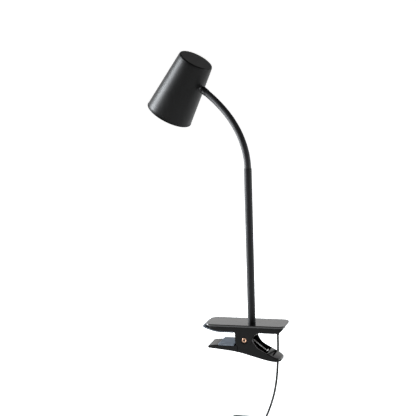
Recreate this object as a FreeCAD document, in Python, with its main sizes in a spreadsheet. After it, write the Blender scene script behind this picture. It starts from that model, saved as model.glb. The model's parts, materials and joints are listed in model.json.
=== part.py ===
import FreeCAD, Part
import math
import os
import re

from FreeCAD import Placement, Rotation, Vector
from Sketcher import Constraint

# A clip-on reading lamp: a sprung clamp, an upright tube, a flexible neck and a
# cone shade with a built-in LED. Millimetres, +Z up, +X along the clamp towards
# its handles, +Y towards the back. The origin is the middle of the flat face
# with which the upper jaw's pad grips a board from above.

doc = FreeCAD.newDocument("ReadingLamp")
sheet = doc.addObject("Spreadsheet::Sheet", "Sizes")

SIZES = {
    # clamp, in the side view
    "coverLeft": -31.0, "coverRight": 84.5, "coverWidth": 44.5, "coverThick": 3.0,
    "coverTopZ": 12.0, "coverCorner": 7.0, "coverEdge": 0.9,
    "skirtInset": 1.7, "skirtWall": 2.2, "skirtBottomZ": 1.0, "jawRoof": 3.0,
    "gripHalf": 10.0, "throatX": 12.8, "padThick": 2.0, "padSideInset": 1.2,
    "boardGap": 17.0,
    "pivotX": 26.3, "pivotZ": -9.7, "earReach": 10.4,
    # lever
    "leverGap": 0.35, "leverWall": 2.4, "leverFloor": 2.5, "leverTipX": 77.0,
    "jawTipX": -28.0, "bossRadius": 9.0, "thumbSlotWide": 1.8, "thumbSlotLong": 25.0,
    "thumbSlotBack": 10.5,
    # pivot
    "rivetRadius": 2.6, "rivetBore": 1.4, "rivetHead": 3.3, "rivetHeadThick": 0.9,
    "runFit": 0.06, "recessRadius": 5.0, "recessDepth": 0.6,
    "spoolRadius": 4.6, "flangeThick": 1.2, "flangeProud": 2.0,
    "springWire": 1.8, "springTurns": 6.0, "springSlack": 0.3,
    "springClose": 0.94, "upperLegLong": 20.0, "upperLegRise": 8.0,
    "lowerLegLong": 22.0, "lowerLegRise": -31.0,
    # upright tube
    "tubeX": 33.0, "tubeRadius": 5.5, "tubeWall": 1.0, "tubeTall": 221.5,
    "nutThick": 4.0, "nutAcross": 15.5, "washerThick": 1.0,
    "washerRadius": 9.0, "seatFit": 0.05,
    # neck
    "neckRadius": 4.8, "neckLong": 132.0, "neckTurn": 59.5, "neckTight": 0.64,
    "neckYaw": 28.0, "neckJoints": 5.0, "cupGap": 0.3, "swivelGap": 0.3,
    # head
    "cuffRadius": 5.3, "cuffLong": 10.5, "nippleRadius": 3.6, "nippleLong": 3.6,
    "shadeMouthRadius": 34.6, "shadeTopRadius": 25.75, "shadeLong": 92.5,
    "shadeWall": 1.2, "shadeEdge": 1.6, "nippleDown": 29.0, "headSwivel": 7.0,
    "carrierThick": 9.0, "carrierUp": 44.0, "boardRadius": 14.0, "boardThick": 1.6, "chipSize": 9.0,
    "chipThick": 1.2, "reflectorLong": 20.0, "lensThick": 2.4, "ringLong": 3.0,
    # cord and what is on it
    "cordRadius": 1.7, "cordX": 65.2, "cordY": 24.5, "bootLong": 20.0, "bootTopZ": 8.0,
    "bootRadius": 3.1, "outletWall": 1.9, "floorZ": -185.0,
    "switchX": -31.5, "switchY": 22.5, "switchLong": 55.0, "switchWide": 20.0,
    "switchTall": 13.0, "switchPart": 6.5, "rockerLong": 15.0, "rockerWide": 9.0,
    "coilX": -98.0, "coilY": 46.0, "coilRadius": 19.1, "coilPitch": 3.5,
    "coilTall": 21.0,
    "plugX": -20.0, "plugY": 64.0, "plugLong": 58.0, "plugWide": 32.0,
    "plugTall": 30.0, "plugBoot": 22.0, "pinRadius": 2.0, "pinLong": 19.0,
    "pinSpacing": 18.6,
    # small fasteners
    "screwRadius": 1.5, "screwHead": 2.7, "screwHeadThick": 1.6,
    "screwFrontX": 19.0, "screwBackX": 74.0, "screwSide": 14.0,
}

for row, (alias, value) in enumerate(SIZES.items(), start=1):
    sheet.set(f"A{row}", alias)
    sheet.set(f"B{row}", str(value))
    sheet.setAlias(f"B{row}", alias)
doc.recompute()


def size(alias):
    return float(sheet.get(alias))


def cell(text):
    """Expression for the sheet: every alias in the text gets the sheet's name."""
    return re.sub(r"[A-Za-z]\w*", lambda m: f"Sizes.{m[0]}" if m[0] in SIZES else m[0], text)


subParts = []


def keep(item, label, place=None):
    item.Label = label
    if place:
        item.Placement = place
    subParts.append(item)
    return item


# --- PartDesign helpers -------------------------------------------------------

def newBody(label):
    return doc.addObject("PartDesign::Body", label)


def sketchOn(body, name, role):
    sketch = body.newObject("Sketcher::SketchObject", name)
    plane = next(f for f in body.Origin.OriginFeatures if f.Role == role)
    sketch.AttachmentSupport = [(plane, "")]
    sketch.MapMode = "FlatFace"
    return sketch


def tie(sketch, kind, geo, point, text):
    """One dimension from the sketch's origin, bound to an expression."""
    index = sketch.addConstraint(Constraint(kind, -1, 1, geo, point, 1.0))
    sketch.setExpression(f"Constraints[{index}]", cell(text))


def outline(body, name, role, corners):
    """Closed outline with straight sides; each corner is a pair of expressions."""
    sketch = sketchOn(body, name, role)
    spots = [Vector(evaluate(x), evaluate(y), 0) for x, y in corners]
    count = len(spots)
    for i in range(count):
        sketch.addGeometry(Part.LineSegment(spots[i], spots[(i + 1) % count]), False)
    for i in range(count):
        sketch.addConstraint(Constraint("Coincident", i, 2, (i + 1) % count, 1))
    for i, (x, y) in enumerate(corners):
        tie(sketch, "DistanceX", i, 1, x)
        tie(sketch, "DistanceY", i, 1, y)
    return sketch


def circles(body, name, role, spots, radius):
    """Equal circles at pairs of expressions."""
    sketch = sketchOn(body, name, role)
    for i, (x, y) in enumerate(spots):
        centre = Vector(evaluate(x), evaluate(y), 0)
        sketch.addGeometry(Part.Circle(centre, Vector(0, 0, 1), evaluate(radius)), False)
        tie(sketch, "DistanceX", i, 3, x)
        tie(sketch, "DistanceY", i, 3, y)
        index = sketch.addConstraint(Constraint("Radius", i, evaluate(radius)))
        sketch.setExpression(f"Constraints[{index}]", cell(radius))
    return sketch


def evaluate(text):
    return float(sheet.evalExpression(cell(text)))


def pad(body, sketch, length, middle=False, back=False):
    feature = body.newObject("PartDesign::Pad", sketch.Name + "Pad")
    feature.Profile = sketch
    feature.setExpression("Length", cell(length))
    feature.Midplane = middle
    feature.Reversed = back
    sketch.Visibility = False
    doc.recompute()
    return feature


def pocket(body, sketch, length, middle=False, back=False):
    before = body.Shape.Volume
    feature = body.newObject("PartDesign::Pocket", sketch.Name + "Cut")
    feature.Profile = sketch
    feature.setExpression("Length", cell(length))
    feature.Midplane = middle
    feature.Reversed = back
    doc.recompute()
    if body.Shape.Volume >= before:
        raise RuntimeError(f"{body.Label}: {sketch.Name} cuts nothing")
    return feature


def shift(sketch, text):
    """Moves a sketch along its own normal."""
    sketch.setExpression(".AttachmentOffset.Base.z", cell(text))


def fillet(body, edges, radius):
    base = body.Tip
    feature = body.newObject("PartDesign::Fillet", "Round")
    feature.Base = (base, edges)
    feature.setExpression("Radius", cell(radius))
    doc.recompute()
    return feature


def edgesWhere(body, test):
    return [f"Edge{i}" for i, edge in enumerate(body.Shape.Edges, start=1) if test(edge)]


def turned(label, corners, place=None):
    """A body of revolution about its own Z axis from a half outline (radius, height)."""
    body = newBody(label)
    sketch = outline(body, label + "Half", "XZ_Plane", corners)
    feature = body.newObject("PartDesign::Revolution", label + "Turn")
    feature.Profile = sketch
    feature.ReferenceAxis = (sketch, ["V_Axis"])
    feature.Angle = 360.0
    doc.recompute()
    return keep(body, label, place)


def group(kind, label, pieces):
    joined = doc.addObject(kind, label)
    joined.Shapes = pieces
    doc.recompute()
    return joined


def coded(label, shape, place=Placement()):
    """A piece whose form is worked out here from the sheet's sizes."""
    feature = doc.addObject("Part::Feature", label)
    feature.Shape = shape
    return keep(feature, label, place)


# --- clamp: upper half ----------------------------------------------------------

skirtHalf = "( coverWidth / 2 - skirtInset )"


def topCover():
    body = newBody("top_cover")
    low, high = "0 - coverWidth / 2", "coverWidth / 2"
    sheetOutline = outline(body, "CoverPlan", "XY_Plane", [
        ("coverLeft", low), ("coverRight", low), ("coverRight", high), ("coverLeft", high)])
    shift(sheetOutline, "coverTopZ - coverThick")
    pad(body, sheetOutline, "coverThick")
    upright = edgesWhere(body, lambda e: abs(e.tangentAt(e.FirstParameter).z) > 0.9)
    fillet(body, upright, "coverCorner")
    hole = circles(body, "CoverHole", "XY_Plane", [("tubeX", "0")], "tubeRadius + seatFit")
    shift(hole, "coverTopZ - coverThick")
    pocket(body, hole, "coverThick", back=True)
    top = size("coverTopZ")
    rim = edgesWhere(body, lambda e: min(v.Z for v in e.Vertexes) > top - 0.01 and not
                     (e.Length < 40 and abs(e.CenterOfMass.x - size("tubeX")) < 1))
    fillet(body, rim, "coverEdge")
    keep(body, "top_cover")


def upperJaw():
    """Moulded upper half: solid nose, hollow handle, two ears that hold the pivot."""
    body = newBody("upper_jaw")
    seat = "coverTopZ - coverThick"
    side = outline(body, "JawSide", "XZ_Plane", [
        ("coverLeft + 2", seat), ("coverLeft + 2", "8.6"), ("coverLeft + 4.4", "6"),
        ("coverLeft + 12", "3.4"), ("0 - gripHalf - 1", "padThick"),
        ("throatX", "padThick"), ("throatX", "pivotZ - 4"),
        ("pivotX - 9", "pivotZ - 8"), ("pivotX - 4.5", "pivotZ - earReach"),
        ("pivotX + 4.5", "pivotZ - earReach"), ("pivotX + 9", "pivotZ - 6"),
        ("pivotX + 11.5", "pivotZ + 2"), ("pivotX + 18.2", "skirtBottomZ"),
        ("coverRight - 13", "skirtBottomZ"), ("coverRight - 6", "skirtBottomZ + 2.2"),
        ("coverRight - 2.4", "6.5"), ("coverRight - 2.2", seat)])
    pad(body, side, f"2 * {skirtHalf}", middle=True)
    hollow = outline(body, "JawHollow", "XZ_Plane", [
        ("throatX + 2.6", "coverTopZ - coverThick - jawRoof"), ("throatX + 2.6", "pivotZ - 20"),
        ("coverRight - 12", "pivotZ - 20"), ("coverRight - 12", "skirtBottomZ"),
        ("coverRight - 7", "skirtBottomZ + 4"),
        ("coverRight - 7", "coverTopZ - coverThick - jawRoof")])
    pocket(body, hollow, f"2 * ( {skirtHalf} - skirtWall )", middle=True)
    mouth = outline(body, "JawMouth", "XZ_Plane", [
        ("throatX - 1", "pivotZ + 7"), ("throatX - 1", "pivotZ - 20"),
        ("throatX + 3", "pivotZ - 20"), ("throatX + 3", "pivotZ + 7")])
    pocket(body, mouth, f"2 * ( {skirtHalf} - skirtWall )", middle=True)
    pin = circles(body, "JawPivot", "XZ_Plane", [("pivotX", "pivotZ")], "rivetRadius + seatFit")
    pocket(body, pin, "coverWidth + 20", middle=True)
    for name, back in (("RecessNear", True), ("RecessFar", False)):
        recess = circles(body, name, "XZ_Plane", [("pivotX", "pivotZ")], "recessRadius")
        shift(recess, f"{skirtHalf} - recessDepth" if back else f"recessDepth - {skirtHalf}")
        pocket(body, recess, "recessDepth + 1", back=back)
    hole = circles(body, "JawTube", "XY_Plane", [("tubeX", "0")], "tubeRadius + seatFit")
    shift(hole, "coverTopZ - coverThick - jawRoof")
    pocket(body, hole, "jawRoof + 1", back=True)
    outletHalf = "bootRadius + outletWall"
    boss = outline(body, "Outlet", "XY_Plane", [
        (f"cordX - {outletHalf}", f"{skirtHalf} - skirtWall"),
        (f"cordX + {outletHalf}", f"{skirtHalf} - skirtWall"),
        (f"cordX + {outletHalf}", "cordY + bootRadius"),
        (f"cordX - {outletHalf}", "cordY + bootRadius")])
    shift(boss, "skirtBottomZ")
    pad(body, boss, "coverTopZ - coverThick - skirtBottomZ")
    bore = circles(body, "OutletBore", "XY_Plane", [("cordX", "cordY")], "bootRadius + seatFit")
    shift(bore, "skirtBottomZ")
    pocket(body, bore, "bootTopZ - skirtBottomZ", back=True)
    for name, side in (("ScrewsNear", "0 - screwSide"), ("ScrewsFar", "screwSide")):
        holes = circles(body, name, "XY_Plane", [("screwFrontX", side), ("screwBackX", side)], "screwRadius")
        shift(holes, "coverTopZ - coverThick - jawRoof")
        pocket(body, holes, "jawRoof", back=True)
    keep(body, "upper_jaw")


def padPiece(label, corners):
    """Soft pad with the same side outline across the jaw's width."""
    body = newBody(label)
    side = outline(body, label + "Side", "XZ_Plane", corners)
    pad(body, side, f"2 * ( {skirtHalf} - padSideInset )", middle=True)
    keep(body, label)


# --- clamp: lower half ----------------------------------------------------------

leverHalf = f"( {skirtHalf} - skirtWall - leverGap )"
jawTop = "0 - boardGap - padThick"


def lowerJaw():
    """Moulded lever: lower jaw, pivot boss and an open channel that ends in a thumb pad."""
    body = newBody("lower_jaw")
    side = outline(body, "LeverSide", "XZ_Plane", [
        ("jawTipX", f"{jawTop} - 1.5"), ("0 - gripHalf - 3", jawTop), ("gripHalf + 1", jawTop),
        ("pivotX - 11", f"{jawTop} + 2.6"), ("pivotX - 8.6", "pivotZ - 3"),
        ("pivotX - 8", "pivotZ + 4"), ("pivotX - 3.7", "pivotZ + bossRadius - 0.8"),
        ("pivotX + 3.7", "pivotZ + bossRadius - 0.8"), ("pivotX + 8.4", "pivotZ + 4.6"),
        ("pivotX + 11", "pivotZ + 1.2"), ("pivotX + 13.1", "pivotZ - 4.3"),
        ("pivotX + 17.1", "pivotZ - 10.9"), ("pivotX + 25.5", "pivotZ - 16.4"),
        ("pivotX + 31.3", "pivotZ - 19.8"), ("pivotX + 43.8", "pivotZ - 26"),
        ("leverTipX", "pivotZ - 29.4"), ("leverTipX", "pivotZ - 31.4"),
        ("leverTipX - 3", "pivotZ - 31.6"), ("pivotX + 37", "pivotZ - 30.6"),
        ("pivotX + 26.1", "pivotZ - 28.5"), ("pivotX - 4.1", "pivotZ - 20"),
        ("pivotX - 24.8", "pivotZ - 17"), ("jawTipX", f"{jawTop} - 5")])
    pad(body, side, f"2 * {leverHalf}", middle=True)
    channel = outline(body, "Channel", "XZ_Plane", [
        ("pivotX - 9.4", "pivotZ + 15"), ("pivotX - 9.4", "pivotZ - 18.7 + leverFloor"),
        ("pivotX - 4.1", "pivotZ - 20 + leverFloor"), ("pivotX + 26", "pivotZ - 28.5 + leverFloor"),
        ("pivotX + 38", "pivotZ - 31 + leverFloor"), ("pivotX + 31.3", "pivotZ - 19.8 - leverFloor"),
        ("pivotX + 31.3", "pivotZ + 15")])
    pocket(body, channel, f"2 * ( {leverHalf} - leverWall )", middle=True)
    pin = circles(body, "LeverPivot", "XZ_Plane", [("pivotX", "pivotZ")], "rivetRadius + runFit")
    pocket(body, pin, "coverWidth", middle=True)
    slot = outline(body, "ThumbSlot", "XY_Plane", [
        ("leverTipX - thumbSlotBack - thumbSlotWide", "0 - thumbSlotLong / 2"),
        ("leverTipX - thumbSlotBack", "0 - thumbSlotLong / 2"),
        ("leverTipX - thumbSlotBack", "thumbSlotLong / 2"),
        ("leverTipX - thumbSlotBack - thumbSlotWide", "thumbSlotLong / 2")])
    shift(slot, "pivotZ - 26.8")
    pocket(body, slot, "12", back=True)
    tip = size("leverTipX")
    corners = edgesWhere(body, lambda e: abs(e.tangentAt(e.FirstParameter).z) > 0.9 and
                         e.CenterOfMass.x > tip - 0.01)
    fillet(body, corners, "coverCorner + 4")
    keep(body, "lower_jaw")


# --- pivot ----------------------------------------------------------------------

acrossPivot = Placement(Vector(size("pivotX"), 0, size("pivotZ")), Rotation(Vector(1, 0, 0), 90))


def pivot():
    seat = f"({skirtHalf} - recessDepth)"
    turned("hinge_rivet", [
        ("rivetBore", f"{seat} + rivetHeadThick"), ("rivetBore", f"0 - {seat} - rivetHeadThick"),
        ("rivetHead", f"0 - {seat} - rivetHeadThick"), ("rivetHead", f"0 - {seat}"),
        ("rivetRadius", f"0 - {seat}"), ("rivetRadius", seat), ("rivetHead", seat),
        ("rivetHead", f"{seat} + rivetHeadThick")], acrossPivot)
    flange = f"( {leverHalf} - leverWall - 0.3 )"
    turned("spring_spool", [
        ("rivetRadius + runFit", flange), ("rivetRadius + runFit", f"0 - {flange}"),
        ("spoolRadius + flangeProud", f"0 - {flange}"),
        ("spoolRadius + flangeProud", f"flangeThick - {flange}"),
        ("spoolRadius", f"flangeThick - {flange}"), ("spoolRadius", f"{flange} - flangeThick"),
        ("spoolRadius + flangeProud", f"{flange} - flangeThick"),
        ("spoolRadius + flangeProud", flange)], acrossPivot)
    spring()


def spring():
    """Torsion spring on the spool: close turns and two straight legs to the two halves."""
    wire = size("springWire")
    coilRadius = size("spoolRadius") + size("springSlack") + wire / 2
    turns = int(size("springTurns"))
    step = size("springClose") * wire
    parts = []
    for i in range(turns):
        ring = doc.addObject("Part::Torus", f"SpringTurn{i}")
        ring.setExpression("Radius1", cell("spoolRadius + springSlack + springWire / 2"))
        ring.setExpression("Radius2", cell("springWire / 2"))
        ring.Placement = Placement(Vector(0, 0, step * (i - (turns - 1) / 2)), Rotation())
        parts.append(ring)
    far = Vector(0, coilRadius, step * (turns - 1) / 2)
    for name, start in (("upper", far), ("lower", -far)):
        leg = doc.addObject("Part::Cylinder", f"{name}SpringLeg")
        leg.setExpression("Radius", cell("springWire / 2"))
        leg.setExpression("Height", cell(f"{name}LegLong"))
        angle = math.radians(size(f"{name}LegRise"))
        along = Vector(math.cos(angle), math.sin(angle), 0)
        leg.Placement = Placement(start, Rotation(Vector(0, 0, 1), along))
        parts.append(leg)
    keep(group("Part::MultiFuse", "torsion_spring", parts), "torsion_spring", acrossPivot)


# --- upright tube ----------------------------------------------------------------

roofLow = "( coverTopZ - coverThick - jawRoof )"


def uprightTube():
    foot = f"{roofLow} - washerThick - nutThick - 1"
    axis = Placement(Vector(size("tubeX"), 0, 0), Rotation())
    top = "coverTopZ + tubeTall"
    turned("arm_tube", [
        ("tubeRadius - tubeWall", top), ("tubeRadius - tubeWall", foot), ("tubeRadius", foot),
        ("tubeRadius", f"{top} - 0.6"), ("tubeRadius - 0.4", top)], axis)
    turned("tube_washer", [
        ("tubeRadius + seatFit", f"{roofLow} - washerThick"), ("washerRadius", f"{roofLow} - washerThick"),
        ("washerRadius", roofLow), ("tubeRadius + seatFit", roofLow)], axis)
    nut = newBody("tube_nut")
    plan = sketchOn(nut, "NutPlan", "XY_Plane")
    across = size("nutAcross") / math.sqrt(3)
    spots = [Vector(across * math.cos(math.radians(60 * i)), across * math.sin(math.radians(60 * i)), 0)
             for i in range(6)]
    for i in range(6):
        plan.addGeometry(Part.LineSegment(spots[i], spots[(i + 1) % 6]), False)
    for i in range(6):
        plan.addConstraint(Constraint("Coincident", i, 2, (i + 1) % 6, 1))
        tie(plan, "DistanceX", i, 1, f"nutAcross / sqrt(3) * cos({60 * i})")
        tie(plan, "DistanceY", i, 1, f"nutAcross / sqrt(3) * sin({60 * i})")
    shift(plan, f"{roofLow} - washerThick")
    pad(nut, plan, "nutThick", back=True)
    bore = circles(nut, "NutBore", "XY_Plane", [("0", "0")], "tubeRadius + seatFit")
    shift(bore, f"{roofLow} - washerThick")
    pocket(nut, bore, "nutThick")
    keep(nut, "tube_nut", axis)


# --- flexible neck ---------------------------------------------------------------

def turnAt(share):
    """Angle from upright, in radians, at a share of the neck's length: tighter low down."""
    whole = math.radians(size("neckTurn"))
    return whole * (share + size("neckTight") * (share - share * share))


def neckStations():
    """Places and angles of the neck's joints, its foot and its end, in its own plane."""
    joints = int(size("neckJoints"))
    shares = [0.0] + [(i + 0.5) / joints for i in range(joints)] + [1.0]
    angles = [turnAt(share) for share in shares]
    spot = Vector(size("tubeX"), 0, size("coverTopZ") + size("tubeTall"))
    yaw = math.radians(size("neckYaw"))
    out = Vector(-math.cos(yaw), math.sin(yaw), 0)
    stations = [(spot, angles[0])]
    for i in range(1, len(shares)):
        length = size("neckLong") * (shares[i] - shares[i - 1])
        turn = angles[i] - angles[i - 1]
        radius = length / turn
        low, high = angles[i - 1], angles[i]
        sideways = radius * (math.cos(low) - math.cos(high))
        upward = radius * (math.sin(high) - math.sin(low))
        spot = spot + out * sideways + Vector(0, 0, upward)
        stations.append((spot, angles[i]))
    return stations


def neckPlacement(spot, angle):
    """Own +Z along the neck there, own +X towards the side to which it bends."""
    yaw = Rotation(Vector(0, 0, 1), 180 - size("neckYaw"))
    return Placement(spot, yaw.multiply(Rotation(Vector(0, 1, 0), math.degrees(angle))))


def bentRod(radius, length, turn):
    disc = Part.Face(Part.Wire(Part.makeCircle(radius)))
    return disc.revolve(Vector(length / turn, 0, 0), Vector(0, 1, 0), math.degrees(turn))


def neck():
    """Short rigid lengths with ball ends in cups, which stand for one bendable conduit."""
    stations = neckStations()
    joints = int(size("neckJoints"))
    shareStep = size("neckLong") / joints
    radius = size("neckRadius")
    for i in range(joints + 1):
        (spot, low), (_, high) = stations[i], stations[i + 1]
        length = shareStep if 0 < i < joints else shareStep / 2
        link = bentRod(radius, length, high - low)
        if i < joints:
            bend = length / (high - low)
            ballSpot = Vector(bend * (1 - math.cos(high - low)), 0, bend * math.sin(high - low))
            link = link.fuse(Part.makeSphere(radius, ballSpot))
        if i > 0:
            link = link.cut(Part.makeSphere(radius + size("cupGap")))
        else:
            stem = Part.makeCylinder(size("tubeRadius") - size("tubeWall") - 0.08, 12, Vector(0, 0, -12))
            link = link.cut(Part.makeBox(20, 20, size("swivelGap"), Vector(-10, -10, 0)))
            link = link.fuse(stem.fuse(Part.makeCylinder(radius - 1.2, size("swivelGap"))))
        coded(f"neck_link_{i}", link.removeSplitter(), neckPlacement(spot, low))


# --- head -------------------------------------------------------------------------

def headFrame():
    """Axis of the shade (towards its closed end), the neck's end and its direction there."""
    spot, angle = neckStations()[-1]
    rotation = neckPlacement(spot, angle).Rotation
    along = rotation.multVec(Vector(0, 0, 1))
    sideways = rotation.multVec(Vector(0, 1, 0))
    level = rotation.multVec(Vector(-1, 0, 0))
    swivel = math.radians(size("headSwivel"))
    axis = level * math.cos(swivel) - sideways * math.sin(swivel)
    return spot, along, axis


def shadeRadiusAt(fromTop):
    grow = (size("shadeMouthRadius") - size("shadeTopRadius")) / size("shadeLong")
    return size("shadeTopRadius") + grow * fromTop


def shadePlacement():
    """Shade frame: own origin on its axis at the closed end's outside, own +Z to the mouth."""
    spot, along, axis = headFrame()
    reach = size("cuffLong") + size("nippleLong") + shadeRadiusAt(size("nippleDown"))
    centre = spot + along * reach + axis * size("nippleDown")
    across = axis.cross(along)
    turn = FreeCAD.Matrix(-along.x, across.x, -axis.x, 0, -along.y, across.y, -axis.y, 0,
                          -along.z, across.z, -axis.z, 0, 0, 0, 0, 1)
    return Placement(centre, Rotation(turn))


def cuffPlacement():
    spot, along, axis = headFrame()
    return Placement(spot, Rotation(Vector(0, 0, 1), along))


def head():
    cuff = cuffPlacement()
    place = shadePlacement()
    gap = "swivelGap"
    turned("neck_cuff", [
        ("0", gap), ("cuffRadius - 0.6", gap), ("cuffRadius", f"{gap} + 0.6"),
        ("cuffRadius", "cuffLong - 1.6"), ("cuffRadius - 1", "cuffLong"), ("0", "cuffLong")], cuff)
    nippleEnd = "cuffLong + nippleLong + shadeWall + 7"
    turned("head_nipple", [
        ("0", "cuffLong"), ("nippleRadius + 0.8", "cuffLong"),
        ("nippleRadius + 0.8", "cuffLong + nippleLong - 0.55"),
        ("nippleRadius", "cuffLong + nippleLong - 0.5"), ("nippleRadius", nippleEnd),
        ("0", nippleEnd)], cuff)
    shade(place)
    nippleSeat(cuff)
    lightSource(place)


def shade(place):
    """Cone cup: closed flat end with a rounded edge, open mouth, hole for the nipple."""
    body = newBody("shade")
    slope = "( shadeMouthRadius - shadeTopRadius ) / shadeLong"
    half = outline(body, "ShadeHalf", "XZ_Plane", [
        ("0", "0"), ("shadeTopRadius - shadeEdge", "0"), ("shadeTopRadius", "shadeEdge"),
        ("shadeMouthRadius", "shadeLong"), ("shadeMouthRadius - shadeWall", "shadeLong"),
        (f"shadeTopRadius - shadeWall + {slope} * shadeWall", "shadeWall"), ("0", "shadeWall")])
    cone = body.newObject("PartDesign::Revolution", "ShadeTurn")
    cone.Profile = half
    cone.ReferenceAxis = (half, ["V_Axis"])
    doc.recompute()
    hole = circles(body, "NippleHole", "YZ_Plane", [("0", "nippleDown")], "nippleRadius + seatFit")
    pocket(body, hole, "shadeMouthRadius + 5", back=True)
    keep(body, "shade", place)


def nippleSeat(cuff):
    """Lock nut and curved washers that clamp the shade's wall on the nipple."""
    wallOut = "( cuffLong + nippleLong )"
    for label, start, end, radius in (
            ("nipple_washer", "shadeWall + 1.8", "shadeWall + 2.8", "nippleRadius + 3.4"),
            ("nipple_nut", "shadeWall + 2.8", "shadeWall + 5.8", "nippleRadius + 2.4")):
        turned(label, [
            ("nippleRadius + seatFit", f"{wallOut} + {start}"), (radius, f"{wallOut} + {start}"),
            (radius, f"{wallOut} + {end}"), ("nippleRadius + seatFit", f"{wallOut} + {end}")], cuff)


def lightSource(place):
    """Carrier plate pressed into the cone, with the LED board, reflector and lens."""
    inner = "( shadeTopRadius - shadeWall + ( shadeMouthRadius - shadeTopRadius ) / shadeLong * "
    top = "carrierUp"
    low = "carrierUp + carrierThick"
    turned("lamp_carrier", [
        ("0", top), (f"{inner} {top} ) - 1.4", top), (f"{inner} ( {low} ) ) - 0.1", low),
        (f"{inner} ( {low} ) ) - 3", low), (f"{inner} ( {low} ) ) - 3", f"{low} - 3"),
        ("0", f"{low} - 3")], place)
    floor = f"{low} - 3"
    turned("led_board", [
        ("0", floor), ("boardRadius", floor), ("boardRadius", f"{floor} + boardThick"),
        ("0", f"{floor} + boardThick")],
        place)
    chip = doc.addObject("Part::Box", "led_chip")
    for side in ("Length", "Width"):
        chip.setExpression(side, cell("chipSize"))
    chip.setExpression("Height", cell("chipThick"))
    middle = Vector(-size("chipSize") / 2, -size("chipSize") / 2,
                    evaluate(f"{floor} + boardThick"))
    keep(chip, "led_chip", place.multiply(Placement(middle, Rotation())))
    lensTop = f"{floor} + boardThick + reflectorLong"
    turned("reflector", [
        ("7.2", f"{floor} + boardThick"), ("8.4", f"{floor} + boardThick"),
        (f"{inner} ( {lensTop} ) ) - 2.2", lensTop), (f"{inner} ( {lensTop} ) ) - 3.4", lensTop)],
        place)
    turned("lens", [
        ("0", lensTop), (f"{inner} ( {lensTop} ) ) - 1.2", lensTop),
        (f"{inner} ( {lensTop} ) ) - 1.2", f"{lensTop} + lensThick"), ("0", f"{lensTop} + lensThick")],
        place)
    ring = f"{lensTop} + lensThick"
    turned("retaining_ring", [
        (f"{inner} ( {ring} ) ) - 3.2", ring), (f"{inner} ( {ring} ) ) - 0.1", ring),
        (f"{inner} ( {ring} + ringLong ) ) - 0.1", f"{ring} + ringLong"),
        (f"{inner} ( {ring} ) ) - 3.2", f"{ring} + ringLong")], place)


# --- small fasteners ----------------------------------------------------------------

def coverScrews():
    """Four screws from beneath that hold the cover on the jaw."""
    screws = []
    places = [(size(x), side * size("screwSide"))
              for x in ("screwFrontX", "screwBackX") for side in (-1, 1)]
    for i, (x, y) in enumerate(places):
        shank = doc.addObject("Part::Cylinder", f"CoverShank{i}")
        shank.setExpression("Radius", cell("screwRadius - 0.05"))
        shank.setExpression("Height", cell("jawRoof"))
        shank.Placement = Placement(Vector(x, y, evaluate(roofLow)), Rotation())
        headDisc = doc.addObject("Part::Cylinder", f"CoverHead{i}")
        headDisc.setExpression("Radius", cell("screwHead"))
        headDisc.setExpression("Height", cell("screwHeadThick"))
        headDisc.Placement = Placement(Vector(x, y, evaluate(f"{roofLow} - screwHeadThick")), Rotation())
        screws.append(group("Part::MultiFuse", f"CoverScrew{i}", [shank, headDisc]))
    compound("cover_screws", screws)


# --- cord and what is on it ------------------------------------------------------------

leadRoute = [(65.2, 24.5, -12), (65.2, 24.5, -25), (64.5, 24.5, -47), (63.0, 24.5, -70),
             (60.6, 24.5, -88), (56.8, 24.4, -105), (51.6, 24.2, -121), (45.6, 24.0, -136),
             (38.4, 23.7, -150), (29.6, 23.3, -162), (19.0, 22.9, -171.6), (7.4, 22.5, -178.5),
             (-4.0, 22.5, -178.5)]
middleRoute = [(-59.0, 22.5, -178.5), (-66.0, 22.5, -178.5), (-76.0, 22.8, -181.6),
               (-86.0, 23.3, -183.3), (-98.0, 23.4, -183.2)]
tailRoute = [(-98.0, 68.6, -165.7), (-84.0, 68.3, -166.1), (-69.0, 66.8, -167.9),
             (-54.0, 64.0, -170.0), (-42.0, 64.0, -170.0)]


def cordTube(label, route):
    """Round cord: straight runs joined by tangent arcs as large as the runs allow."""
    points = [Vector(*spot) for spot in route]
    edges = []
    last = points[0]
    for before, corner, after in zip(points, points[1:], points[2:]):
        back = (before - corner).normalize()
        ahead = (after - corner).normalize()
        halfTurn = (math.pi - back.getAngle(ahead)) / 2
        reach = 0.45 * min((before - corner).Length, (after - corner).Length)
        radius = reach / math.tan(halfTurn)
        inside = (back + ahead).normalize()
        middle = corner + inside * (radius / math.cos(halfTurn) - radius)
        start, end = corner + back * reach, corner + ahead * reach
        edges.append(Part.LineSegment(last, start).toShape())
        edges.append(Part.Arc(start, middle, end).toShape())
        print(f"{label}: arc radius {radius:.0f}")
        last = end
    edges.append(Part.LineSegment(last, points[-1]).toShape())
    path = Part.Wire(edges)
    along = (points[1] - points[0]).normalize()
    disc = Part.Wire(Part.makeCircle(size("cordRadius"), points[0], along))
    tube = Part.Wire(path).makePipeShell([disc], True, False)
    ideal = math.pi * size("cordRadius") ** 2 * path.Length
    print(f"{label}: length {path.Length:.0f}, volume over section times length "
          f"{tube.Volume / ideal:.4f}")
    coded(label, tube)


def cord():
    outlet = Placement(Vector(size("cordX"), size("cordY"), 0), Rotation())
    low = "bootTopZ - bootLong"
    turned("cord_boot", [
        ("0", low), ("cordRadius + 0.5", low), ("bootRadius", "skirtBottomZ"),
        ("bootRadius", "bootTopZ"), ("0", "bootTopZ")], outlet)
    cordTube("cord_lead", leadRoute)
    cordTube("cord_middle", middleRoute)
    cordTube("cord_tail", tailRoute)
    ring = "( coilRadius - coilPitch - cordRadius - 0.2 )"
    rim = "( coilRadius + coilPitch + cordRadius + 0.2 )"
    place = Placement(Vector(size("coilX"), size("coilY"), size("floorZ")), Rotation())
    turned("cord_coil", [
        (ring, "0"), (rim, "0"), (rim, "coilTall"), (ring, "coilTall")], place)


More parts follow.
